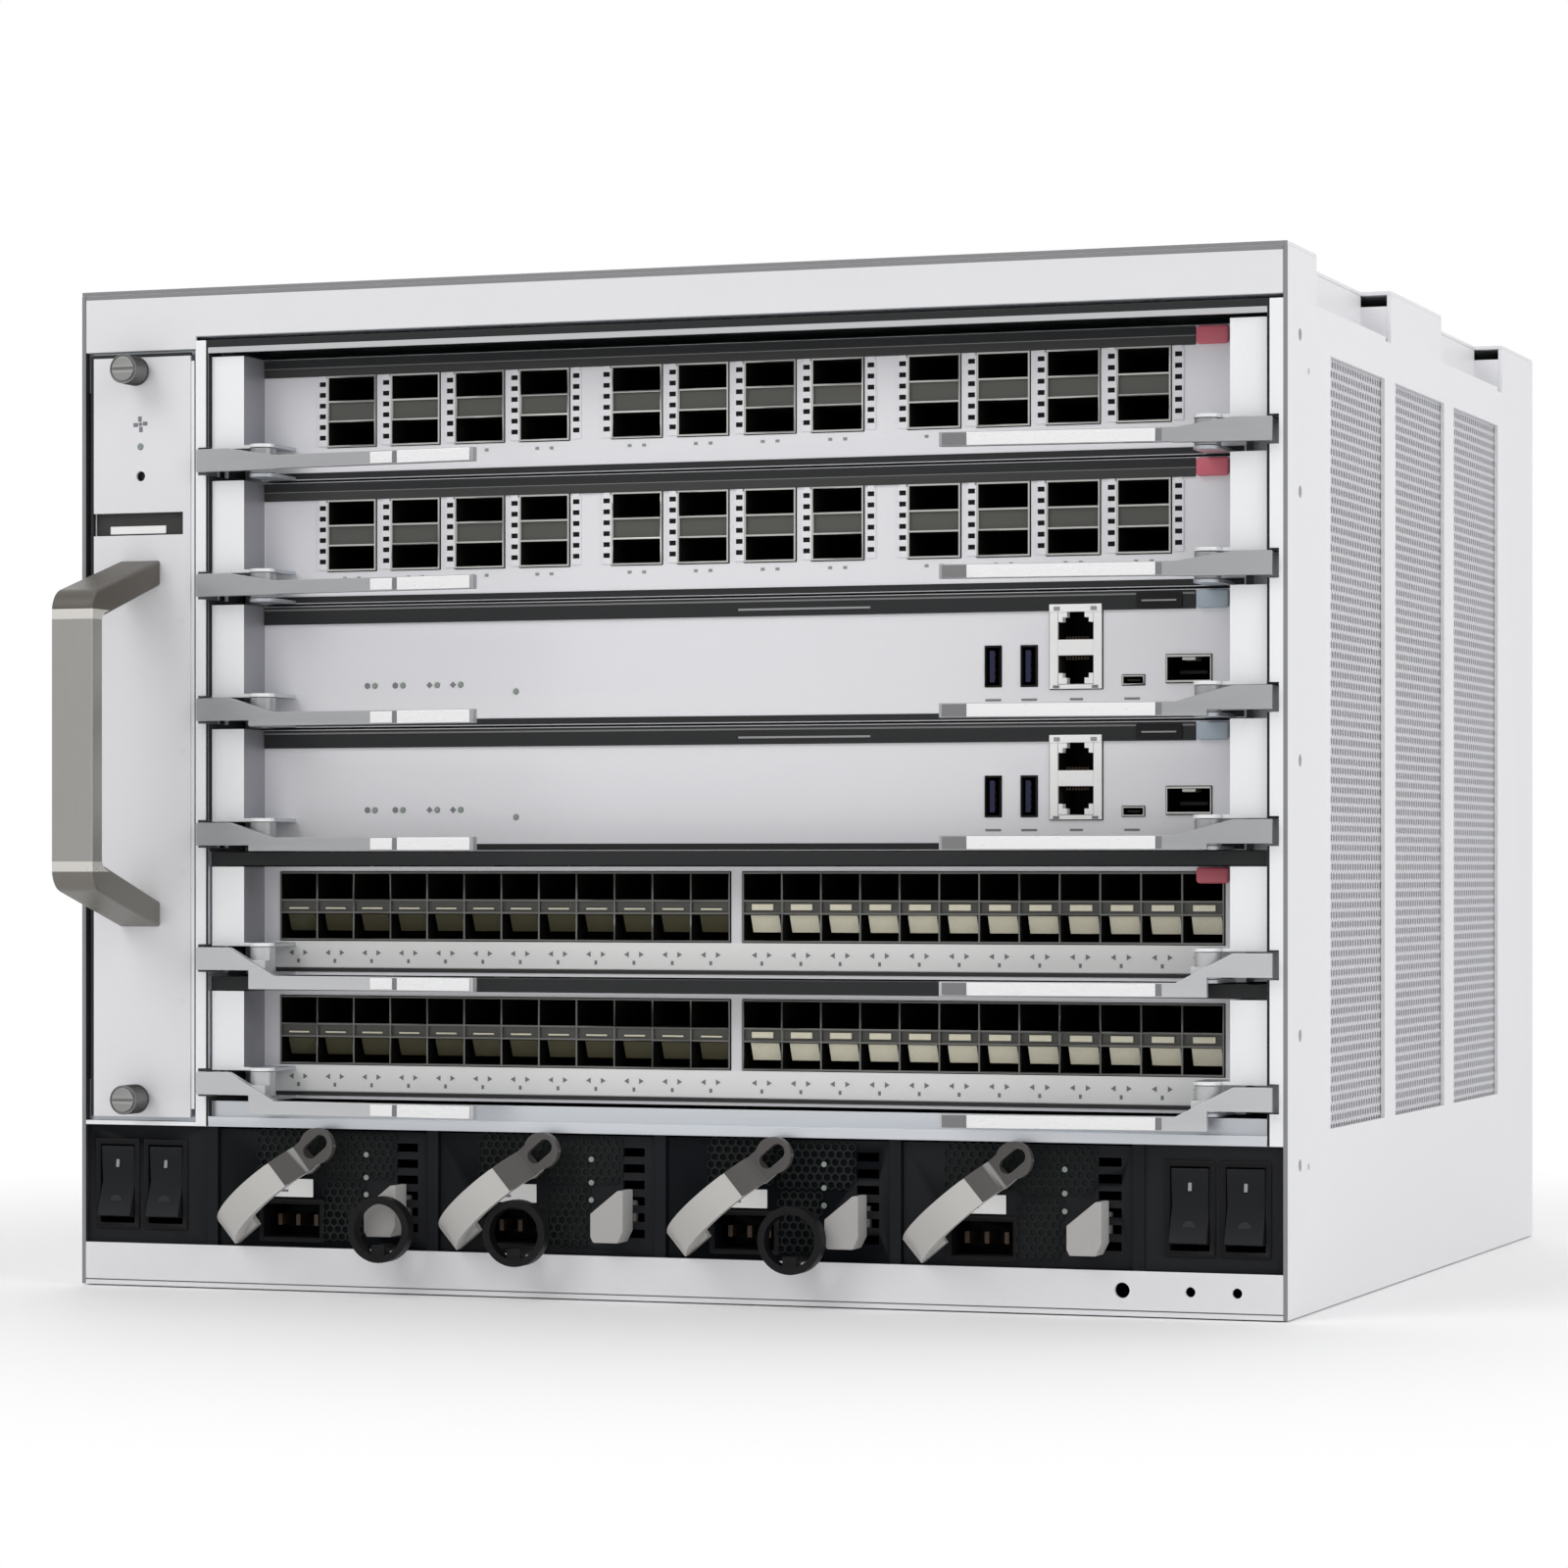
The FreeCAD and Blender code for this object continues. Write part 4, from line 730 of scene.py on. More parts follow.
@dataclass
class SidePanel:
    """Side panel with its perforated screens, hand pockets and rack holes.

    Attributes:
        hand: 1 for the right side, -1 for the left.
    """

    hand: int
    skin: float = 1.5
    first_vent: float = 60.0
    last_vent: float = 69.0
    rib: float = 17.0
    columns: int = 3
    vent_low: float = 60.0
    vent_high: float = 322.0
    pocket_low: float = 337.0
    pocket_depth: float = 11.0
    pocket_length: float = 112.0
    pocket_front: float = 40.0
    pocket_rear: float = 61.0
    relief: float = 8.0
    pitch: float = 3.8
    web: float = 1.3
    screen: float = 0.8
    notch: float = 4.0
    tool: tuple[float, float] = (9.0, -2.0)
    step_low: tuple[float, float] = (1.5, 1.0)
    seam: float = 0.05
    rim: float = 0.2
    rack_holes: tuple[Point, ...] = (
        (17.0, 50.0, 2.1), (17.0, 93.0, 2.1), (17.0, 184.0, 2.1), (17.0, 273.0, 2.1),
        (17.0, 325.0, 2.1), (29.0, 49.0, 1.2), (29.0, 314.0, 1.2))

    def __post_init__(self) -> None:
        """Read the panel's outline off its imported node."""
        self.node = "right_side_panel" if self.hand > 0 else "left_side_panel"
        self.low, self.high = span(self.node)
        self.outer = self.high.x if self.hand > 0 else self.low.x
        self.depth = self.high.y - self.low.y

    def slab(self, inner: float, outer: float, y: tuple[float, float], z: tuple[float, float],
             edge: float = 0.0) -> Obj:
        """Block measured inwards from the panel's outer face.

        Args:
            inner: deeper face, from the outer face.
            outer: shallower face, from the outer face.
            y: front and rear.
            z: bottom and top.
            edge: radius of the edges.

        Returns:
            The block.
        """
        ends = sorted((self.outer - self.hand * inner, self.outer - self.hand * outer))
        return Bench.block((ends[0], y[0], z[0]), (ends[1], y[1], z[1]), edge, Look.CASE_PAINT)

    def vents(self) -> list[tuple[float, float]]:
        """Front and rear of every vent column."""
        clear = self.depth - self.first_vent - self.last_vent - (self.columns - 1) * self.rib
        width = clear / self.columns
        starts = [self.first_vent + number * (width + self.rib) for number in range(self.columns)]
        return [(start, start + width) for start in starts]

    def pockets(self) -> list[tuple[float, float]]:
        """Front and rear of both hand pockets."""
        starts = (self.pocket_front, self.depth - self.pocket_rear - self.pocket_length)
        return [(start, start + self.pocket_length) for start in starts]

    def build(self) -> None:
        """Model the skin with its vents, pockets and holes, and the screens behind its windows."""
        top, low = self.high.z, self.pocket_low
        panel = self.slab(self.skin, 0.0, (0.0, self.depth), (0.0, top))
        tools = [self.slab(*self.tool, vent, (self.vent_low, self.vent_high)) for vent in self.vents()]
        for start, end in self.pockets():
            tools.append(self.slab(*self.tool, (start, end), (low, top + 2.0)))
            step = (low - self.step_low[0], low + self.step_low[1])
            tools.append(self.slab(*self.tool, (end - self.relief, end), step))
        tools += [Bench.rod((self.outer, y, z), radius, 6.0, "X", 24) for y, z, radius in self.rack_holes]
        for tool in tools:
            Bench.cut(panel, tool)
        Bench.bevel(panel, 0.25)
        # Inner faces of the skin painted near black as shade inside the chassis.
        Bench.paint(panel, Look.INSIDE_GREY, lambda middle, normal: normal.x * self.hand < -0.5)
        # Front edge of the skin painted dark grey as shade at the corner.
        Bench.paint(panel, Look.EDGE_GREY, front_edge)
        floor, skin = self.pocket_depth, self.skin
        deep, wall = floor + skin, (low, top - self.seam)
        parts = [panel]
        for start, end in self.pockets():
            for outer, y, z in (
                    (floor, (start, end), wall),
                    (skin, (start, end - self.relief), (low - skin, low)),
                    (skin, (start - skin, start), wall),
                    (skin, (end, end + skin), (low, top - self.notch))):
                parts.append(self.slab(deep, outer, y, z, self.rim))
        Bench.deliver(Bench.join(*parts), self.node + "_skin", "chassis", "grey_paint", [self.node])
        self.screens()

    def screens(self) -> None:
        """Model the perforated screen behind each vent window."""
        row = self.pitch * math.sqrt(3.0) / 2
        plane = self.outer - self.hand * (self.skin + 0.1)
        for number, (start, end) in enumerate(self.vents(), 1):
            columns = int((end - start) / self.pitch) + 1
            rows = int((self.vent_high - self.vent_low) / row) + 2
            corner = (plane, start, self.vent_low)
            screen = Bench.honeycomb(corner, columns, rows, self.pitch, self.web, self.screen, self.hand)
            Bench.paint(screen, Look.VENT_PAINT)
            Bench.deliver(screen, f"{self.node}_screen_{number}", "chassis", "grey_paint")


@dataclass
class Chassis:
    """Everything that stands still: sheets, card cage, midplane and switch blocks."""

    base_top: float = 15.0
    bay_top: float = 57.0
    lip: float = 1.5
    beam: float = 2.6
    beam_front: float = 6.0
    seam: float = 0.9
    runner: float = 0.5
    fold: tuple[float, float] = (1.6, 2.0)
    wall_front: float = 20.0
    perforated: tuple[float, float] = (-166.0, 209.0)
    connector: float = 3.3
    bezel: tuple[tuple[float, float, float, float], ...] = (
        (8.6, 16.0, 1.2, 2.0), (6.75, 13.9, -1.0, 4.0))
    rocker_tilt: float = -8.0
    lid_screws: Point = (16.0, 14.0, 0.2)
    rear_screws: Point = (10.0, 0.9, 12.0)

    def build(self) -> None:
        """Model the standing pieces in turn."""
        self.base()
        self.cover()
        self.cage()
        self.rear()
        for hand in (1, -1):
            SidePanel(hand).build()
        self.switches()

    def base(self) -> None:
        """Base pan: pale strip in front with a fold groove painted dark grey as shade, dark shelf and
        dividers behind it.
        """
        pan = Bench.traced("base_pan", Look.CASE_PAINT)
        low, high = span("base_pan")
        foot, head = self.fold
        Bench.cut(pan, Bench.block((low.x - 1, -1, foot), (high.x + 1, 0.4, head), 0.0))
        Bench.bevel(pan, 0.2)
        # Groove of the fold line painted dark grey as the shade inside it.
        Bench.paint(pan, Look.EDGE_GREY, lambda middle, normal: (
            middle.y < 0.5 and foot - 0.1 < middle.z < head + 0.1))
        Bench.paint(pan, Look.SHELF_DARK, lambda middle, normal: middle.z > self.base_top + 0.05 or (
            middle.z > self.base_top - 1.6 and middle.y > 1.0 and normal.z > 0.5))
        Bench.deliver(pan, "base_pan_sheet", "chassis", "grey_paint", ["base_pan"])

    def cover(self) -> None:
        """Top cover with its screws, and the bezel under its front lip; the lid's front edge and the bezel's
        top lip are painted dark grey as shade.
        """
        lid = Bench.traced("top_cover", Look.CASE_PAINT, 0.3)
        # Front edge of the lid painted dark grey as the shade of the gap under it.
        Bench.paint(lid, Look.EDGE_GREY, front_edge)
        Bench.deliver(lid, "top_cover_sheet", "chassis", "grey_paint", ["top_cover"])
        low, high = span("top_cover")
        bezel = Bench.traced("front_bezel", Look.CASE_PAINT, 0.35, 3)
        seam = span("front_bezel")[1].z - self.lip
        Bench.split(bezel, (0.0, 0.0, seam), (0.0, 0.0, 1.0))
        # Top lip of the bezel painted dark grey as the shade under the lid's edge.
        Bench.paint(bezel, Look.EDGE_GREY, lambda middle, normal: faces_front(normal) and middle.z > seam)
        Bench.deliver(bezel, "front_bezel_sheet", "chassis", "grey_paint", ["front_bezel"])
        side, front, sunk = self.lid_screws
        head = Bench.screw((low.x + side, front, high.z - 0.5 - sunk), "Z", 1, 2.6)
        width, depth = high.x - low.x - 2 * side, high.y - 2 * front
        steps = (0.0, 0.5, 1.0)
        shifts = [(width * across, depth * back, 0.0) for across in steps for back in steps]
        Bench.deliver(Bench.scatter(head, shifts[1:]), "top_cover_screws", "chassis", "zinc_steel")

    def cage(self) -> None:
        """Card cage in zinc, with pale posts, strips and inner walls painted dark as shade, and the midplane
        behind it.
        """
        cage = Bench.traced("card_cage", Look.ZINC, 0.2)
        roof = span("card_cage")[1].z
        ends = [corner.x for corner in span("card_1_carrier")]
        left, right = ends[0] - self.runner, ends[1] + self.runner
        for x in (left - self.seam, left, right, right + self.seam):
            Bench.split(cage, (x, 0.0, 0.0), (1.0, 0.0, 0.0))
        Bench.split(cage, (0.0, 0.0, roof - self.beam), (0.0, 0.0, 1.0))
        # Inner side walls of the cage painted near black as shade.
        Bench.paint(cage, Look.INSIDE_GREY, lambda middle, normal: (
            abs(normal.x) > 0.5 and middle.y > self.wall_front and (
                (middle.x - right) * normal.x > 0 or (middle.x - left) * normal.x > 0)))
        post = self.bay_top + 1.6

        def dress(look: Look, test: Callable[[Vector], bool]) -> None:
            """Paint the faces at the very front of the cage whose middle passes a test."""
            Bench.paint(cage, look, lambda middle, normal: (
                faces_front(normal) and middle.y < 0.3 and test(middle)))

        dress(Look.POST_PAINT, lambda spot: spot.z > post and not left < spot.x < right)
        # Narrow strips beside the posts painted dark as the shadow in the gap.
        dress(Look.BAND_DARK, lambda spot: (
            spot.z > post and not left < spot.x < right and left - self.seam < spot.x < right + self.seam))
        dress(Look.LEVER_SATIN, lambda spot: spot.z > roof - self.beam_front and left < spot.x < right)
        # Top of the beam painted dark as the shadow in the gap under the bezel.
        dress(Look.BAND_DARK, lambda spot: spot.z > roof - self.beam and left < spot.x < right)
        wall_left, wall_right = self.perforated
        # Set-back faces inside the cage painted dark: partly the dark bars' own colour, partly painted shade.
        Bench.paint(cage, Look.BAND_DARK, lambda middle, normal: (
            1.8 < middle.y < 15.3 and self.bay_top + 20 < middle.z < roof - 20 and
            wall_left < middle.x < wall_right and abs(normal.x) < 0.5))
        Bench.deliver(cage, "card_cage_sheet", "chassis", "zinc_steel", ["card_cage"])
        board = Bench.traced("midplane", Look.BOARD_GREEN)
        back = span("midplane")[1].y
        Bench.paint(board, Look.MOULD_BLACK, lambda middle, normal: middle.y < back - self.connector)
        Bench.deliver(board, "midplane_board", "chassis", "board", ["midplane"])

    def rear(self) -> None:
        """Rear panel with screws round its edge."""
        sheet = Bench.traced("rear_panel", Look.CASE_PAINT, 0.15)
        Bench.deliver(sheet, "rear_panel_sheet", "chassis", "grey_paint", ["rear_panel"])
        low, high = span("rear_panel")
        side, sunk, foot = self.rear_screws
        head = Bench.screw((low.x + side, high.y - sunk, foot), "Y", 1)
        across, up = high.x - low.x - 2 * side, high.z - 2 * foot
        shifts = [(across * x, 0.0, up * z) for x in (0.0, 1 / 3, 2 / 3, 1.0) for z in (0.0, 1.0)]
        shifts += [(across * x, 0.0, up * z) for x in (0.0, 1.0) for z in (0.35, 0.65)]
        Bench.deliver(Bench.scatter(head, shifts[1:]), "rear_panel_screws", "chassis", "zinc_steel")

    def switches(self) -> None:
        """Moulded switch blocks and their rockers, with a bar and a ring on each rocker."""
        blocks = Bench.traced("switch_blocks", Look.SUPPLY_BLACK, 0.4)
        Bench.deliver(blocks, "switch_block_mouldings", "chassis", "black_plastic", ["switch_blocks"])
        middle_z = (self.base_top + self.bay_top) / 2
        for side in ("left", "right"):
            for number in (1, 2):
                node = f"rocker_{side}_{number}"
                low, high = span(node)
                x = (low.x + high.x) / 2
                surround = Bench.cut(*[
                    Bench.block((x - wide, front, middle_z - tall), (x + wide, back, middle_z + tall), 0.0)
                    for wide, tall, front, back in self.bezel])
                Bench.bevel(surround, 0.3, 3)
                Bench.paint(surround, Look.MOULD_BLACK)
                Bench.deliver(surround, node + "_frame", "chassis", "black_plastic")
                paddle = Bench.traced(node, Look.ROCKER_GREY, 0.5, 3)
                Bench.deliver(paddle, node + "_paddle", node, "black_plastic", [node])
                self.marks(node, x, middle_z)

    def marks(self, node: str, x: float, z: float) -> None:
        """Bar and ring printed on a rocker.

        Args:
            node: the rocker's node and body.
            x: middle of the rocker.
            z: height of its pivot.
        """
        front = JOINTS[node + "_tilt"]["pos_m"][1] / MM - FRONT / MM - 5.0
        ring_z = z - 7.0
        bar = Bench.block((x - 0.6, front - 1.55, z + 5.0), (x + 0.6, front - 1.15, z + 9.0), 0.1,
                          Look.MARK_GREY)
        ring = Bench.rod((x, front - 1.35, ring_z), 2.3, 0.4, "Y", 24)
        Bench.inset(ring, lambda middle, normal: abs(normal.y) > 0.9, 0.6, -0.15)
        Bench.paint(ring, Look.MARK_GREY)
        Bench.paint(ring, Look.ROCKER_GREY, lambda middle, normal: (
            normal.y < -0.9 and (middle - Vector((x, middle.y, ring_z))).length < 1.0))
        marks = Bench.join(bar, ring)
        Bench.turn(marks, self.rocker_tilt, (x, front + 5.0, z), "X")
        Bench.deliver(marks, node + "_marks", node, "black_plastic")


# ---- fan tray ----

@dataclass
class FanTray:
    """Fan tray: painted front, bow handle, thumbscrews and the fans behind it."""

    shade_strip: float = 1.2
    strip_drop: float = 60.5
    icon_drop: float = 25.0
    lamp_drop: float = 33.0
    rivet_low: float = 101.0
    rivet_steps: Point = (46.0, 89.0, 135.0)
    collar: tuple[float, float] = (42.0, 45.5)
    knurl_degrees: float = 7.5
    hub_label: float = 15.0

    def build(self) -> None:
        """Model the tray, its fittings and its fans."""
        low, high = span("fan_tray_frame")
        self.middle_x = (low.x + high.x) / 2
        tray = Bench.traced("fan_tray_frame", Look.CASE_PAINT, 0.2)
        shade_strip, brow = low.x + self.shade_strip, high.z - self.shade_strip
        Bench.split(tray, (shade_strip, 0.0, 0.0), (1.0, 0.0, 0.0))
        Bench.split(tray, (0.0, 0.0, brow), (0.0, 0.0, 1.0))
        Bench.paint(tray, Look.ZINC, lambda middle, normal: middle.y > 1.6)
        # Left edge and top edge of the tray front painted dark as the shadow in the gaps round it.
        Bench.paint(tray, Look.BAND_DARK, lambda middle, normal: middle.y < 20.0 and (
            middle.x < shade_strip or middle.z > brow))
        Bench.deliver(tray, "fan_tray_sheet", "fan_tray", "grey_paint", ["fan_tray_frame"])
        self.front_details(low, high)
        self.handle()
        for name in ("thumbscrew_top", "thumbscrew_bottom"):
            self.thumbscrew(name)
        housings = Bench.traced("fan_housings", Look.FAN_BLACK)
        Bench.deliver(housings, "fan_housing_mouldings", "fan_tray", "black_plastic", ["fan_housings"])
        for row in (1, 2):
            for column in (1, 2, 3):
                self.rotor(f"fan_rotor_{row}_{column}")

    def front_details(self, low: Vector, high: Vector) -> None:
        """Label recess, status lamp, fan sign and rivets on the tray's front.

        Args:
            low: the tray frame's lowest corner.
            high: its highest corner.
        """
        z = high.z - self.strip_drop
        back = Bench.block((low.x + 0.6, 2.2, z - 4.6), (high.x - 2.6, 3.0, z + 4.6), 0.1, Look.BAND_LOW)
        strip = Bench.block((low.x + 7.0, 1.6, z - 3.4), (low.x + 29.0, 2.2, z - 0.6), 0.2,
                            Look.LABEL_WHITE)
        Bench.deliver(Bench.join(back, strip), "fan_tray_label_strip", "fan_tray", "black_plastic")
        lamp = Bench.rod((self.middle_x, 0.2, high.z - self.lamp_drop), 1.1, 0.8, "Y", 20,
                         Look.LENS_CLEAR, 0.3)
        Bench.deliver(lamp, "fan_tray_lamp", "fan_tray", "board")
        z = high.z - self.icon_drop
        hub = Bench.rod((self.middle_x, 0.0, z), 0.7, 0.12, "Y", 16, Look.PRINT_GREY)
        blades = [hub]
        for number in range(4):
            blade = Bench.block((self.middle_x + 0.9, -0.06, z - 0.5), (self.middle_x + 2.8, 0.06, z + 0.9),
                                0.0, Look.PRINT_GREY)
            blades.append(Bench.turn(blade, 90.0 * number, (self.middle_x, 0.0, z), "Y"))
        Bench.deliver(Bench.join(*blades), "fan_tray_sign", "fan_tray", "black_plastic")
        fingers = Bench.block((high.x - 0.1, 0.5, low.z + 3.0), (high.x + 1.3, 1.2, high.z - 3.0), 0.2,
                              Look.FLANGE_NICKEL)
        Bench.deliver(fingers, "fan_tray_contact_strip", "fan_tray", "grey_paint")
        rivet = Bench.rod((high.x - 3.4, -0.15, self.rivet_low), 1.1, 0.3, "Y", 16, Look.CASE_PAINT, 0.12)
        rivets = Bench.scatter(rivet, [(0.0, 0.0, up) for up in self.rivet_steps])
        Bench.deliver(rivets, "fan_tray_rivets", "fan_tray", "grey_paint")

    def handle(self) -> None:
        """Bow handle: brown-grey arms, the upper one painted darker and the lower one lighter as shade and
        light on one metal, pale collars and a satin grip.
        """
        low, high = span("fan_tray_handle")
        middle = (low.z + high.z) / 2
        piece = Bench.traced("fan_tray_handle", Look.GRIP_ARM)
        inner, outer = self.collar
        for reach in self.collar:
            for sign in (-1, 1):
                Bench.split(piece, (0.0, 0.0, middle + sign * reach), (0.0, 0.0, 1.0))
        Bench.bevel(piece, 2.6, 4, 40.0)
        # Lower half painted lighter than the upper half, as light and shade on one metal.
        Bench.paint(piece, Look.GRIP_FOOT, lambda spot, normal: spot.z < middle)
        Bench.paint(piece, Look.GRIP_COLLAR, lambda spot, normal: (
            spot.y < low.y + 10 and inner < abs(spot.z - middle) < outer))
        Bench.paint(piece, Look.GRIP_SATIN, lambda spot, normal: (
            spot.y < low.y + 10 and abs(spot.z - middle) < inner))
        Bench.deliver(piece, "fan_tray_bow_handle", "fan_tray", "grip_metal", ["fan_tray_handle"])

    def thumbscrew(self, name: str) -> None:
        """Knurled knob with a turned collar and a slot.

        Args:
            name: the thumbscrew's node and body.
        """
        low, high = span(name)
        x, z = (low.x + high.x) / 2, (low.z + high.z) / 2
        radius = (high.x - low.x) / 2
        knob = Bench.rod((x, low.y + 5.5, z), radius, 10.0, "Y", 48)
        Bench.mark(knob, lambda middle, normal: (
            abs(normal.y) < 0.5 and
            int((math.degrees(math.atan2(normal.z, normal.x)) + 180.0) / self.knurl_degrees) % 2 == 0))
        bpy.ops.object.mode_set(mode="EDIT")
        bpy.ops.mesh.inset(thickness=0.05 * MM, depth=-0.35 * MM, use_individual=True)
        bpy.ops.object.mode_set(mode="OBJECT")
        nose = Bench.rod((x, low.y + 0.6, z), radius - 0.9, 1.2, "Y", 32, edge=0.4)
        slot = Bench.block((x - radius, low.y - 1.0, z - 0.6), (x + radius, low.y + 0.7, z + 0.6), 0.0)
        Bench.cut(nose, slot)
        collar = Bench.rod((x, low.y + 11.6, z), radius - 0.8, 2.4, "Y", 32, edge=0.3)
        shaft = Bench.rod((x, (low.y + 12.0 + high.y) / 2, z), 2.0, high.y - low.y - 12.0, "Y", 24,
                          edge=0.3)
        piece = Bench.join(knob, nose, collar, shaft)
        Bench.paint(piece, Look.KNOB_ALLOY)
        Bench.deliver(piece, name + "_knob", name, "knob_metal", [name])

    def rotor(self, name: str) -> None:
        """Fan rotor with a bare round label on its hub.

        Args:
            name: the rotor's node and body.
        """
        high = span(name)[1]
        pivot = JOINTS[name + "_spin"]["pos_m"]
        spot = (high.x + 0.05, pivot[1] / MM - FRONT / MM, pivot[2] / MM)
        piece = Bench.traced(name, Look.FAN_BLACK)
        label = Bench.rod(spot, self.hub_label, 0.2, "X", 40, Look.LABEL_WHITE)
        Bench.deliver(Bench.join(piece, label), name + "_wheel", name, "black_plastic", [name])


# ---- cards ----

@dataclass(frozen=True)
class Plate:
    """Dress plate on the front of an ejector lever.

    Attributes:
        start: distance of its nearer end from the pivot.
        end: distance of its further end.
        proud: how far it stands out.
        look: its finish.
        rim: bare lever above and below it.
    """

    start: float
    end: float
    proud: float
    look: Look
    rim: float = 0.4


# On the right lever the last plate is painted dark grey as shade over the tip.
PLATES = {
    "left": (Plate(48.5, 57.3, 0.5, Look.LEVER_POLISH), Plate(57.3, 59.3, 0.12, Look.PRINT_GREY),
             Plate(59.3, 88.0, 0.7, Look.LEVER_POLISH, 0.2)),
    "right": (Plate(14.0, 16.0, 0.12, Look.PRINT_GREY), Plate(16.0, 79.5, 0.7, Look.LEVER_POLISH, 0.2),
              Plate(79.5, 88.0, 0.4, Look.LEVER_TIP, 0.3)),
}


@dataclass
class Card:
    """A card: carrier, board, header band, end tab and both ejector levers.

    Attributes:
        slot: number of its slot, counted from the top.
        tab: finish of the end tab, or None for a card without one.
    """

    slot: int
    tab: Look | None
    face: float = 19.0
    flange: float = 12.5
    band: tuple[float, float] = (36.6, 42.9)
    band_end: float = 163.4
    line_foot: float = 2.95
    line_head: float = 3.3
    end_tab_x: tuple[float, float] = (163.8, 175.2)
    foot_shadow_half: float = 180.0
    sheet: float = 1.3
    recess_front: float = 3.4
    board_top: float = 5.7
    cage_back: float = 76.0
    cage_front: float = 2.0
    sinks: tuple[float, float] = (120.0, 230.0)
    plug: float = 20.5
    lever_front: float = 8.5
    lever_angle: float = 5.5
    metal: Look = Look.CAGE_STEEL
    arm: Look = Look.LEVER_ALLOY
    reach: float = 88.0

    def __post_init__(self) -> None:
        """Read the card's place off its packed carrier."""
        self.body = f"card_{self.slot}"
        low, high = span(self.body + "_carrier")
        self.x = (low.x + high.x) / 2
        self.z = low.z
        self.half = (high.x - low.x) / 2

    def piece(self, low: Point, high: Point, look: Look, edge: float = 0.1) -> Obj:
        """Block placed from the middle of the card, its face and its underside."""
        return Bench.block(self.spot(low), self.spot(high), edge, look)

    def spot(self, point: Point) -> Point:
        """Place counted from the middle of the card, its face and its underside."""
        return self.x + point[0], self.face + point[1], self.z + point[2]

    def pin(self, spot: Point, radius: float, length: float, look: Look, sides: int = 16,
            edge: float = 0.0) -> Obj:
        """Disc placed from the middle of the card, its face and its underside."""
        return Bench.rod(self.spot(spot), radius, length, "Y", sides, look, edge)

    def hand_over(self, piece: Obj, part: str, slot: str = "card_paint",
                  stands_for: Sequence[str] = ()) -> None:
        """Deliver a piece of this card under its own name."""
        Bench.deliver(piece, f"{self.body}_{part}", self.body, slot, stands_for)

    def build(self) -> None:
        """Model the card and everything on it."""
        self.carrier()
        self.board()
        self.header()
        self.ports()
        for side in ("left", "right"):
            self.lever(side)

    def carrier(self) -> None:
        """Carrier in four finishes: nickel flanges, zinc recess walls painted darker as shade, painted face
        and zinc tray.
        """
        node = self.body + "_carrier"
        piece = Bench.traced(node, Look.ZINC, 0.18)
        inner = self.half - self.flange
        face_back = self.face + self.sheet
        # Recess walls painted darker zinc as shade.
        Bench.paint(piece, Look.RECESS_ZINC, lambda middle, normal: (
            abs(middle.x - self.x) > inner - 2.2 and self.recess_front < middle.y < face_back))
        Bench.paint(piece, Look.FACE_PAINT, lambda middle, normal: (
            abs(middle.x - self.x) < inner + 0.6 and self.face - 0.4 < middle.y < face_back))
        Bench.paint(piece, Look.FLANGE_NICKEL, lambda middle, normal: (
            middle.y < self.recess_front and middle.z > self.z + 10.2 and normal.y < -0.1))
        self.hand_over(piece, "sheet", "card_paint", [node])

    def board(self) -> None:
        """Board with its port cages, heat sinks and connector, each in its own finish; the inside of the port
        cages is painted near black as shade.
        """
        node = self.body + "_board"
        piece = Bench.traced(node, Look.BOARD_GREEN)
        top = self.z + self.board_top
        back = span(node)[1].y
        lip = self.face + self.cage_front
        first, last = self.sinks
        Bench.paint(piece, self.metal, lambda middle, normal: middle.y < self.cage_back and middle.z > top)
        # Inside of the port cages painted near black as shade.
        Bench.paint(piece, Look.CAGE_DARK, lambda middle, normal: (
            self.face + 0.2 < middle.y < self.cage_back and middle.z > top and
            (normal.y > -0.5 or middle.y > lip)))
        Bench.paint(piece, Look.STRIP_GREY, lambda middle, normal: (
            self.face < middle.y < lip and middle.z > top and faces_front(normal)))
        Bench.paint(piece, Look.SINK_BLACK, lambda middle, normal: first < middle.y < last and middle.z > top)
        Bench.paint(piece, Look.MOULD_BLACK, lambda middle, normal: (
            middle.y > back - self.plug and middle.z > top))
        self.hand_over(piece, "board_assembly", "board", [node])

    def header(self) -> None:
        """Header band along the top of the face, a strip painted dark as shadow along the foot of the face,
        and the coloured end tab.
        """
        low, high = self.band
        left, right = self.band_x()
        foot, head = low + self.line_foot, low + self.line_head
        top = self.piece((left, -0.9, head), (right, -PROUD, high), Look.BAND_DARK, 0.15)
        line = self.piece((left, -0.6, foot), (right, -PROUD, head), Look.BAND_LINE, 0.0)
        under = self.piece((left, -0.7, low), (right, -PROUD, foot), Look.BAND_LOW, 0.15)
        self.hand_over(Bench.join(top, line, under, self.foot_shadow()), "header_band", "black_plastic")
        self.end_tab(low, high)

    def band_x(self) -> tuple[float, float]:
        """Left and right end of the header band."""
        return -self.half + self.flange + 0.2, self.band_end

    def foot_shadow(self) -> Obj:
        """Strip along the foot of the face, painted dark as the shadow under the lever above."""
        return self.piece((-self.foot_shadow_half, -0.3, 0.3), (self.foot_shadow_half, -PROUD, 2.5), Look.BAND_DARK, 0.1)

    def end_tab(self, low: float, high: float) -> None:
        """Rounded tab at the right end, on cards that have one.

        Args:
            low: its foot.
            high: its head.
        """
        if self.tab:
            left, right = self.end_tab_x
            tab = self.piece((left, -2.4, low), (right, -PROUD, high), self.tab, 1.4)
            self.hand_over(tab, "end_tab", "black_plastic")

    def ports(self) -> None:
        """Details of the ports, which each kind of card adds."""

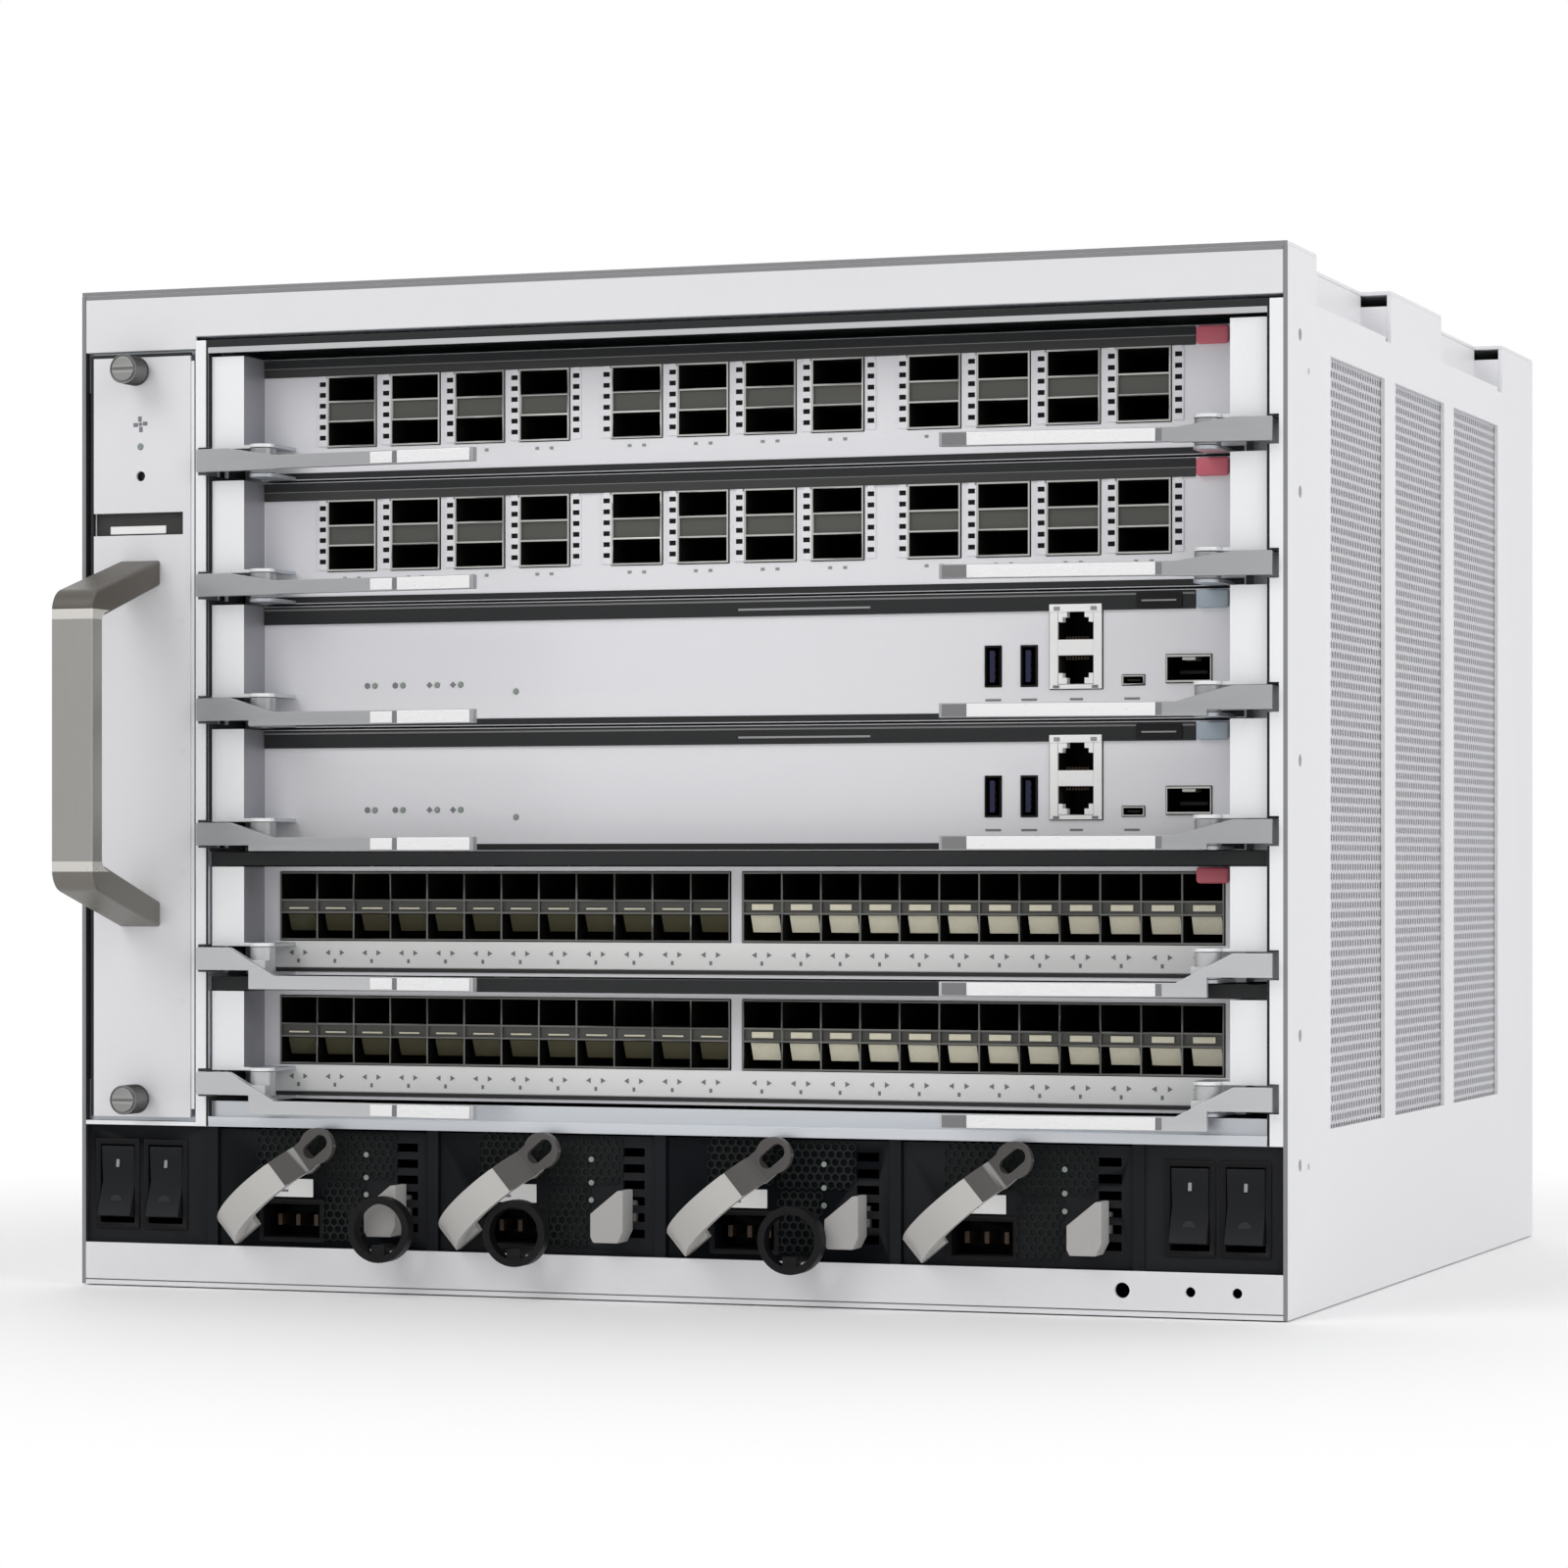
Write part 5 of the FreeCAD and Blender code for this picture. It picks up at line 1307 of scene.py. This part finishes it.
    def lever(self, side: str) -> None:
        """Ejector lever: the bare lever with bright plates, a joint line and, at the right, a tip painted
        dark grey as shade.

        Args:
            side: left or right.
        """
        name = f"{self.body}_lever_{side}"
        hand = 1 if side == "left" else -1
        pivot = [part / MM for part in JOINTS[name + "_turn"]["pos_m"]]
        pivot[1] -= FRONT / MM
        corners = [(corner.co.x / MM, corner.co.z / MM) for corner in frame["nodes"][name].data.vertices]
        tip = [height for across, height in corners if abs(across - pivot[0]) > self.reach - 5.0]
        foot, head = min(tip), max(tip)
        piece = Bench.traced(name, self.arm, 0.5, 3)
        Bench.deliver(piece, name + "_arm", name, "lever_metal", [name])
        front = pivot[1] - self.lever_front
        parts = []
        for plate in PLATES[side]:
            ends = sorted(pivot[0] + hand * reach for reach in (plate.start, plate.end))
            parts.append(Bench.block((ends[0], front - plate.proud, foot + plate.rim),
                                     (ends[1], front, head - plate.rim),
                                     0.25 if plate.proud > 0.3 else 0.0, plate.look))
        dress = Bench.join(*parts)
        Bench.turn(dress, -self.lever_angle * hand, pivot, "Z")
        Bench.deliver(dress, name + "_cover", name, "lever_metal")


@dataclass
class WideCard(Card):
    """Card with three groups of four wide port columns, with vent ladders between them."""

    groups: int = 3
    columns: int = 4
    pitch: float = 24.6
    group_pitch: float = 108.5
    holes: int = 6
    hole: tuple[float, float] = (2.5, 1.7)
    hole_pitch: float = 3.8
    ladder_before: float = 11.2
    ladder_after: float = 12.1
    ladder_foot: float = 12.9
    rung_foot: float = 11.8
    rail: float = 0.25
    rung_proud: float = 0.45

    def ports(self) -> None:
        """Vent ladders beside the port columns, and lamps under them."""
        parts, marks = [], []
        for group in range(self.groups):
            middle = (group - (self.groups - 1) / 2) * self.group_pitch
            first = middle - (self.columns - 1) / 2 * self.pitch
            ladder, step = self.ladder(first - self.ladder_before), (self.pitch, 0.0, 0.0)
            parts.append(Bench.repeat(ladder, self.columns, step))
            parts.append(self.ladder(first + (self.columns - 1) * self.pitch + self.ladder_after))
            lamp = self.piece((first - 3.4, -0.25, 8.3), (first - 2.0, -PROUD, 9.3), Look.LENS_CLEAR, 0.1)
            Bench.repeat(lamp, 2, (5.4, 0.0, 0.0))
            marks.append(Bench.repeat(lamp, self.columns, step))
        self.hand_over(Bench.join(*parts), "vent_ladders", "zinc_steel")
        self.hand_over(Bench.join(*marks), "port_lamps", "board")

    def ladder(self, x: float) -> Obj:
        """Column of vent holes: light rungs and rails over a back painted near black as the shade seen
        through the holes.

        Args:
            x: middle of the column, from the middle of the card.

        Returns:
            The ladder.
        """
        half, top = self.hole[0] / 2, self.ladder_foot + self.holes * self.hole_pitch
        foot, front = self.rung_foot, -self.rung_proud
        # Back painted near black as the shade seen through the holes.
        back = self.piece((x - half, -0.1, self.ladder_foot), (x + half, -PROUD, top), Look.CAGE_DARK, 0.0)
        rung = self.piece((x - half, front, foot), (x + half, -PROUD, foot + self.hole_pitch - self.hole[1]),
                          Look.FACE_PAINT, 0.0)
        Bench.repeat(rung, self.holes + 1, (0.0, 0.0, self.hole_pitch))
        rails = []
        for side in (-1, 1):
            centre = x + side * (half + self.rail)
            rails.append(self.piece((centre - self.rail, front, foot), (centre + self.rail, -PROUD, top),
                                    Look.FACE_PAINT, 0.0))
        return Bench.join(back, rung, *rails)


@dataclass
class SmallCard(Card):
    """Card with two groups of twelve columns of small ports over a white numbered strip."""

    metal: Look = Look.DIVIDER_GREY
    arm: Look = Look.LEVER_SATIN
    columns: int = 12
    pitch: float = 14.25
    divider: float = 4.5
    flap_angle: float = 24.0
    flap_top: float = 21.7
    plate_z: float = 23.5
    arrow_z: float = 8.0
    strip_half: float = 176.0
    tab_z: tuple[float, float] = (32.8, 38.3)

    def header(self) -> None:
        """End tab alone: the band over this card belongs to the card cage."""
        self.end_tab(*self.tab_z)

    def ports(self) -> None:
        """Numbered strip, plates between the rows and sprung flaps in the lower row; the flaps are painted
        dark on the left group and light on the right, with taller plates on the right, as shaded and lit
        copies of one gold.
        """
        half, step = self.strip_half, (self.pitch, 0.0, 0.0)
        strip = self.piece((-half, -0.3, 2.8), (half, -PROUD, 12.1), Look.LABEL_WHITE, 0.1)
        # Dark line under the numbered strip: painted shadow of the gap under it.
        line = self.piece((-half, -0.3, 1.2), (half, -PROUD, 2.6), Look.BAND_LOW, 0.1)
        parts, springs = [strip, line], []
        # Flaps of the left group painted dark olive and of the right group light cream, with taller plates on
        # the right: shaded and lit copies of one gold.
        for start, flap_lit_shade, tall in (
                (-self.divider / 2 - self.columns * self.pitch, Look.CAGE_OLIVE, 0.6),
                (self.divider / 2, Look.CAGE_CREAM, 2.1)):
            for shift, turn in ((4.6, 30.0), (9.6, 90.0)):
                arrow = self.pin((start + shift, -0.34, self.arrow_z), 1.15, 0.1, Look.PRINT_GREY, 3)
                Bench.turn(arrow, turn, self.spot((start + shift, 0.0, self.arrow_z)), "Y")
                parts.append(Bench.repeat(arrow, self.columns, step))
            tick = self.piece((start + 6.6, -0.36, 4.4), (start + 7.6, -0.28, 5.8), Look.PRINT_GREY, 0.0)
            parts.append(Bench.repeat(tick, self.columns, step))
            plate = self.piece((start + 3.4, -0.3, self.plate_z), (start + 11.2, 0.5, self.plate_z + tall),
                               Look.CAGE_CREAM, 0.15)
            springs.append(Bench.repeat(plate, self.columns, step))
            flap = self.piece((start + 2.6, 0.9, 15.2), (start + 13.0, 1.3, self.flap_top), flap_lit_shade, 0.12)
            Bench.turn(flap, self.flap_angle, self.spot((0.0, 0.9, self.flap_top)), "X")
            springs.append(Bench.repeat(flap, self.columns, step))
        self.hand_over(Bench.join(*parts), "number_strip", "card_paint")
        self.hand_over(Bench.join(*springs), "port_springs", "zinc_steel")


@dataclass
class ControlCard(Card):
    """Control card with upright sockets, two jacks, a small socket, a module socket and lamps."""

    jack: tuple[float, float] = (112.7, 18.3)
    usb: tuple[float, float] = (89.8, 102.5)
    usb_shell: tuple[float, float] = (-0.5, 6.1)
    module: tuple[float, float] = (153.2, 168.8)
    lamp_x: tuple[float, ...] = (-136.5, -125.7, -112.5, -103.5)
    lamp_z: float = 14.5
    last_lamp: tuple[float, float] = (-82.4, 11.9)

    def header(self) -> None:
        """Dark band with two light lines, a small black box near its right end, and a strip painted dark as
        shadow along the foot of the face.
        """
        low, high = self.band
        left, right = self.band_x()
        parts = [
            self.piece((left, -0.9, low), (right, -PROUD, high), Look.BAND_DARK, 0.15),
            self.piece((left, -1.0, high - 1.4), (right, -0.9, high - 0.8), Look.BAND_LINE, 0.0),
            self.piece((1.0, -1.15, low + 2.0), (49.0, -0.85, low + 2.7), Look.MARK_GREY, 0.1),
            self.piece((143.0, -1.5, low + 0.5), (159.0, -0.85, high - 0.5), Look.MOULD_BLACK, 0.3),
            self.piece((145.0, -1.6, low + 2.7), (157.0, -1.45, low + 3.2), Look.MARK_GREY, 0.0),
            self.foot_shadow(),
        ]
        self.hand_over(Bench.join(*parts), "header_band", "black_plastic")
        self.end_tab(low, high)

    def board(self) -> None:
        """Board as on any card, with black shells on the upright sockets."""
        super().board()
        board = bpy.data.objects[self.body + "_board_assembly"]
        left, right = self.x + self.usb[0] + self.usb_shell[0], self.x + self.usb[1] + self.usb_shell[1]
        Bench.paint(board, Look.MOULD_BLACK, lambda middle, normal: (
            left < middle.x < right and middle.y < self.face + 1.0 and middle.z > self.z + 9.0))

    def ports(self) -> None:
        """Model the inside of every socket and the lamps."""
        self.jacks()
        self.sockets()
        self.lamps()

    def jacks(self) -> None:
        """White jack block: stepped openings, gold contacts and corner lamps."""
        left, width = self.jack
        middle, right = left + width / 2, left + width
        parts = [self.piece(low, high, look, edge) for low, high, look, edge in (
            ((left, -0.9, 10.3), (right, -0.5, 11.7), Look.LABEL_WHITE, 0.1),
            ((left, -0.9, 36.6), (right, -0.5, 38.2), Look.LABEL_WHITE, 0.1),
            ((middle - 6.25, -0.9, 21.6), (middle + 6.25, -0.5, 26.8), Look.LABEL_WHITE, 0.1),
            ((left, -1.3, 36.2), (right, -0.5, 38.8), Look.LABEL_WHITE, 0.15),
            ((left + 1.6, -1.36, 36.6), (left + 3.8, -1.28, 38.0), Look.MARK_GREY, 0.0),
            ((right - 3.8, -1.36, 36.6), (right - 1.6, -1.28, 38.0), Look.MARK_GREY, 0.0))]
        for side in (-1, 1):
            edge = middle + side * 7.7
            parts.append(self.piece((edge - 1.4, -0.9, 11.7), (edge + 1.4, -0.5, 36.6),
                                    Look.LABEL_WHITE, 0.1))
            for inner, outer, low, high in ((3.1, 6.1, 12.0, 14.0), (4.6, 6.1, 14.0, 15.6),
                                            (3.1, 6.1, 34.4, 36.4), (4.6, 6.1, 32.8, 34.4)):
                ends = sorted((middle + side * inner, middle + side * outer))
                parts.append(self.piece((ends[0], -0.8, low), (ends[1], 3.0, high), Look.LABEL_WHITE, 0.0))
            corner = middle + side * 6.8
            for height in (11.0, 37.4):
                low, high = (corner - 1.1, -1.05, height - 0.5), (corner + 1.1, -0.85, height + 0.5)
                parts.append(self.piece(low, high, Look.PRINT_GREY, 0.05))
        for low in (20.2, 27.1):
            pin = self.piece((middle - 3.9, 1.5, low), (middle - 3.5, 14.0, low + 0.9),
                                    Look.CONTACT_BRONZE, 0.0)
            parts.append(Bench.repeat(pin, 8, (1.05, 0.0, 0.0)))
        self.hand_over(Bench.join(*parts), "jack_faces", "card_paint")

    def sockets(self) -> None:
        """Tongues and rims of the upright sockets, the small socket and the module socket."""
        parts = []
        for left in self.usb:
            parts.append(self.piece((left + 1.3, 0.6, 12.8), (left + 3.1, 15.0, 23.6), Look.PORT_NAVY, 0.1))
            pin = self.piece((left + 3.1, 0.9, 14.0), (left + 3.25, 10.0, 15.4), Look.CONTACT_BRONZE, 0.0)
            parts.append(Bench.repeat(pin, 4, (0.0, 0.0, 2.5)))
        parts.append(self.piece((139.6, 0.4, 12.6), (144.0, 8.0, 13.3), Look.MOULD_BLACK, 0.1))
        left, right = self.module
        for low, high in ((12.0, 12.7), (20.5, 21.2)):
            parts.append(self.piece((left, -1.0, low), (right, -0.5, high), Look.CAGE_STEEL, 0.15))
        parts.append(self.piece((left + 5.5, -0.2, 19.4), (right - 5.5, 8.0, 20.5), Look.CAGE_STEEL, 0.15))
        parts.append(self.piece((left + 3.0, 6.0, 15.0), (right - 3.0, 20.0, 16.2), Look.MOULD_BLACK, 0.1))
        self.hand_over(Bench.join(*parts), "socket_insides", "black_plastic")

    def lamps(self) -> None:
        """Lamp lenses with a ring or bar over each, and short bars under the sockets."""
        parts, prints = [], []
        for x, z in [*((x, self.lamp_z) for x in self.lamp_x), self.last_lamp]:
            parts.append(self.pin((x, -0.1, z), 1.0, 0.6, Look.LENS_CLEAR, 20, 0.25))
        for x, sides in zip(self.lamp_x, (6, 6, 4, 4)):
            prints.append(self.pin((x - 2.9, -0.05, self.lamp_z), 1.2, 0.1, Look.PRINT_GREY, sides))
        for left, width in ((self.usb[0], 5.6), (self.usb[1], 5.6), (119.6, 4.6), (138.6, 5.4)):
            prints.append(self.piece((left, -0.08, 6.4), (left + width, -PROUD, 7.2), Look.PRINT_GREY, 0.0))
        self.hand_over(Bench.join(*parts), "lamps", "board")
        self.hand_over(Bench.join(*prints), "prints", "black_plastic")


# ---- power supplies ----

@dataclass
class PowerSupply:
    """Power supply: dark case with grille and inlet, strap handle and release tab.

    Attributes:
        number: 1 for the supply at the left.
    """

    number: int
    face: float = 3.0
    shelf: float = 15.0
    inlet: float = 12.2
    shaded_part: float = 0.62
    slope: float = 1.2
    cell: float = 3.0
    cell_web: float = 0.8
    grille: float = 0.5
    grilles: tuple[tuple[float, float, int, int], ...] = (
        (41.5, 26.0, 9, 6), (16.0, 27.0, 8, 6), (41.5, 4.0, 5, 8))
    lamp_x: float = 57.0
    lamp_heights: Point = (19.0, 25.0, 33.0)

    def __post_init__(self) -> None:
        """Read the supply's place off its packed case."""
        self.body = f"supply_{self.number}"
        low, high = span(self.body + "_case")
        self.x = (low.x + high.x) / 2
        self.left = low.x

    def piece(self, low: Point, high: Point, look: Look, edge: float = 0.15) -> Obj:
        """Block placed from the left of the supply, its face and its shelf."""
        return Bench.block((self.left + low[0], self.face + low[1], self.shelf + low[2]),
                           (self.left + high[0], self.face + high[1], self.shelf + high[2]), edge, look)

    def build(self) -> None:
        """Model the case, its front, the strap handle and the tab."""
        case = Bench.traced(self.body + "_case", Look.SUPPLY_BLACK, 0.3)
        Bench.paint(case, Look.MOULD_BLACK, lambda middle, normal: middle.y < 0.0)
        Bench.paint(case, Look.CONTACT_BRONZE, lambda middle, normal: (
            self.face + 4.8 < middle.y < self.face + 17.5 and
            self.shelf + 6.9 < middle.z < self.shelf + 11.6 and
            abs(middle.x - self.x + self.inlet) < 8.2))
        Bench.deliver(case, self.body + "_shell", self.body, "dark_case", [self.body + "_case"])
        self.front()
        strap = Bench.traced(self.body + "_handle", Look.STRAP_GREY, 0.9, 3)
        low, high = span(self.body + "_handle")
        start = low + (high - low) * self.shaded_part
        # Upper part of the strap painted dark as shade where it turns away from the light.
        Bench.paint(strap, Look.STRAP_DARK, lambda middle, normal: (
            middle.x + middle.z * self.slope > start.x + start.z * self.slope))
        Bench.deliver(strap, self.body + "_strap", self.body, "strap_grey", [self.body + "_handle"])
        tab = Bench.traced(self.body + "_tab", Look.WEDGE_GREY, 0.35, 3)
        Bench.deliver(tab, self.body + "_release_tab", self.body + "_tab", "tab_grey", [self.body + "_tab"])

    def front(self) -> None:
        """Grille, inlet rim, bare label and lamps."""
        screens = Bench.join(*[
            Bench.honeycomb((self.left + x, self.face - 0.1, self.shelf + z), columns, rows, self.cell,
                            self.cell_web, self.grille) for x, z, columns, rows in self.grilles])
        screens.location = (0.0, -self.grille * MM, 0.0)
        Bench.settle(screens)
        Bench.paint(screens, Look.GRILLE_GREY)
        Bench.deliver(screens, self.body + "_grilles", self.body, "black_plastic")
        inlet = self.x - self.left - self.inlet
        rim = self.piece((inlet - 12.6, -0.6, 1.7), (inlet + 12.6, -PROUD, 16.8), Look.MOULD_BLACK, 0.0)
        well = self.piece((inlet - 10.8, -2.0, 3.4), (inlet + 10.8, 1.0, 15.0), Look.MOULD_BLACK, 0.0)
        Bench.cut(rim, well)
        Bench.bevel(rim, 0.2)
        Bench.paint(rim, Look.MOULD_BLACK)
        Bench.deliver(rim, self.body + "_inlet_rim", self.body, "black_plastic")
        label = self.piece((20.5, -0.9, 17.6), (36.5, -0.6, 24.0), Look.LABEL_WHITE, 0.12)
        lines = self.piece((22.0, -0.95, 19.4), (27.0, -0.88, 20.2), Look.PRINT_GREY, 0.0)
        Bench.repeat(lines, 2, (0.0, 0.0, 1.8))
        Bench.deliver(Bench.join(label, lines), self.body + "_label", self.body, "card_paint")
        lamps = [Bench.rod((self.left + self.lamp_x, self.face - 0.7, self.shelf + up), 1.0, 0.8, "Y", 16,
                           Look.LENS_CLEAR, 0.25) for up in self.lamp_heights]
        Bench.deliver(Bench.join(*lamps), self.body + "_lamps", self.body, "board")


# ---- studio ----

@dataclass(frozen=True)
class Lamp:
    """Square soft lamp: its name, place and size in metres, and power in watts."""

    name: str
    where: Point
    size: float
    power: float

    def build(self, target: Vector) -> None:
        """Hang the lamp in the scene.

        Args:
            target: the place in metres that it points at.
        """
        data = bpy.data.lights.new(self.name, "AREA")
        data.size = self.size
        data.energy = self.power
        lamp = bpy.data.objects.new(self.name, data)
        bpy.context.scene.collection.objects.link(lamp)
        lamp.location = self.where
        lamp.rotation_euler = (target - Vector(self.where)).to_track_quat("-Z", "Y").to_euler()


LAMPS = (
    Lamp("key", (-1.3, -2.4, 2.3), 1.8, 26.0), Lamp("side", (2.6, -1.0, 1.5), 1.8, 24.0),
    Lamp("top", (0.2, 0.2, 2.8), 2.4, 13.0), Lamp("back", (-0.8, 2.6, 1.8), 2.0, 14.0),
)


@dataclass(frozen=True)
class Studio:
    """Pale floor, soft lights and the camera, in metres and degrees."""

    camera: Point = (0.6158, -1.7942, 0.1479)
    heading: float = 19.73
    lens: float = 114.2
    sensor: float = 36.0
    rise: float = 0.0547
    far: float = 100.0
    aim: Point = (0.0, 0.0, 0.17)
    floor_size: float = 14.0
    floor_drop: float = 0.0005
    fade_start: float = 0.30
    fade_end: float = 0.70
    soft_light: float = 0.5

    def build(self) -> None:
        """Set up the floor, the lights, the world and the camera."""
        scene = bpy.context.scene
        scene.view_settings.view_transform = "Standard"
        self.floor()
        self.world()
        for lamp in LAMPS:
            lamp.build(Vector(self.aim))
        data = bpy.data.cameras.new("camera")
        camera = bpy.data.objects.new("camera", data)
        scene.collection.objects.link(camera)
        camera.location = self.camera
        camera.rotation_euler = (math.pi / 2, 0.0, math.radians(self.heading))
        data.lens = self.lens
        data.sensor_width = self.sensor
        data.shift_y = self.rise
        data.clip_end = self.far
        scene.camera = camera

    def floor(self) -> None:
        """Large pale floor, whose shadow stays but whose far part fades into the backdrop."""
        bpy.ops.mesh.primitive_plane_add(size=self.floor_size, location=(0.0, 0.0, -self.floor_drop))
        floor = bpy.context.object
        floor.name = "floor"
        material = bpy.data.materials.new("floor_white")
        material.use_nodes = True
        tree = material.node_tree
        shader = tree.nodes["Principled BSDF"]
        shader.inputs["Base Color"].default_value = (1.0, 1.0, 1.0, 1.0)
        shader.inputs["Roughness"].default_value = 0.7
        shader.inputs["Specular IOR Level"].default_value = 0.2
        where = add_node(tree, "TexCoord")
        reach = add_node(tree, "VectorMath", operation="LENGTH")
        fade = add_node(tree, "MapRange", {"From Min": self.fade_start, "From Max": self.fade_end},
                        interpolation_type="SMOOTHSTEP")
        path = add_node(tree, "LightPath")
        seen = add_node(tree, "Math", operation="MULTIPLY")
        white = add_node(tree, "Emission")
        mix = add_node(tree, "MixShader")
        wire(tree,
             (where.outputs["Object"], reach.inputs[0]), (reach.outputs["Value"], fade.inputs["Value"]),
             (fade.outputs[0], seen.inputs[0]), (path.outputs["Is Camera Ray"], seen.inputs[1]),
             (seen.outputs[0], mix.inputs["Fac"]), (shader.outputs[0], mix.inputs[1]),
             (white.outputs[0], mix.inputs[2]),
             (mix.outputs[0], tree.nodes["Material Output"].inputs["Surface"]))
        floor.data.materials.append(material)

    def world(self) -> None:
        """White for the camera and reflections, and a plain soft level for light."""
        world = bpy.data.worlds.new("studio")
        bpy.context.scene.world = world
        world.use_nodes = True
        tree = world.node_tree
        back = tree.nodes["Background"]
        back.inputs["Color"].default_value = (1.0, 1.0, 1.0, 1.0)
        path = add_node(tree, "LightPath")
        seen = add_node(tree, "Math", operation="MAXIMUM")
        level = add_node(tree, "MapRange", {"To Min": self.soft_light, "To Max": 1.0})
        wire(tree,
             (path.outputs["Is Camera Ray"], seen.inputs[0]), (path.outputs["Is Glossy Ray"], seen.inputs[1]),
             (seen.outputs[0], level.inputs["Value"]), (level.outputs[0], back.inputs["Strength"]))


def cards() -> list[Card]:
    """The six cards, from the top slot down."""
    return [
        WideCard(1, Look.TAB_RED), WideCard(2, Look.TAB_RED),
        ControlCard(3, Look.TAB_BLUE), ControlCard(4, Look.TAB_BLUE),
        SmallCard(5, Look.TAB_RED), SmallCard(6, None),
    ]


def main() -> None:
    """Build every sub-assembly in order."""
    logging.basicConfig(level=logging.INFO, format="%(name)s: %(message)s")
    Chassis().build()
    FanTray().build()
    for card in cards():
        card.build()
    for number in range(1, 5):
        PowerSupply(number).build()
    Studio().build()


if __name__ == "__main__":
    main()
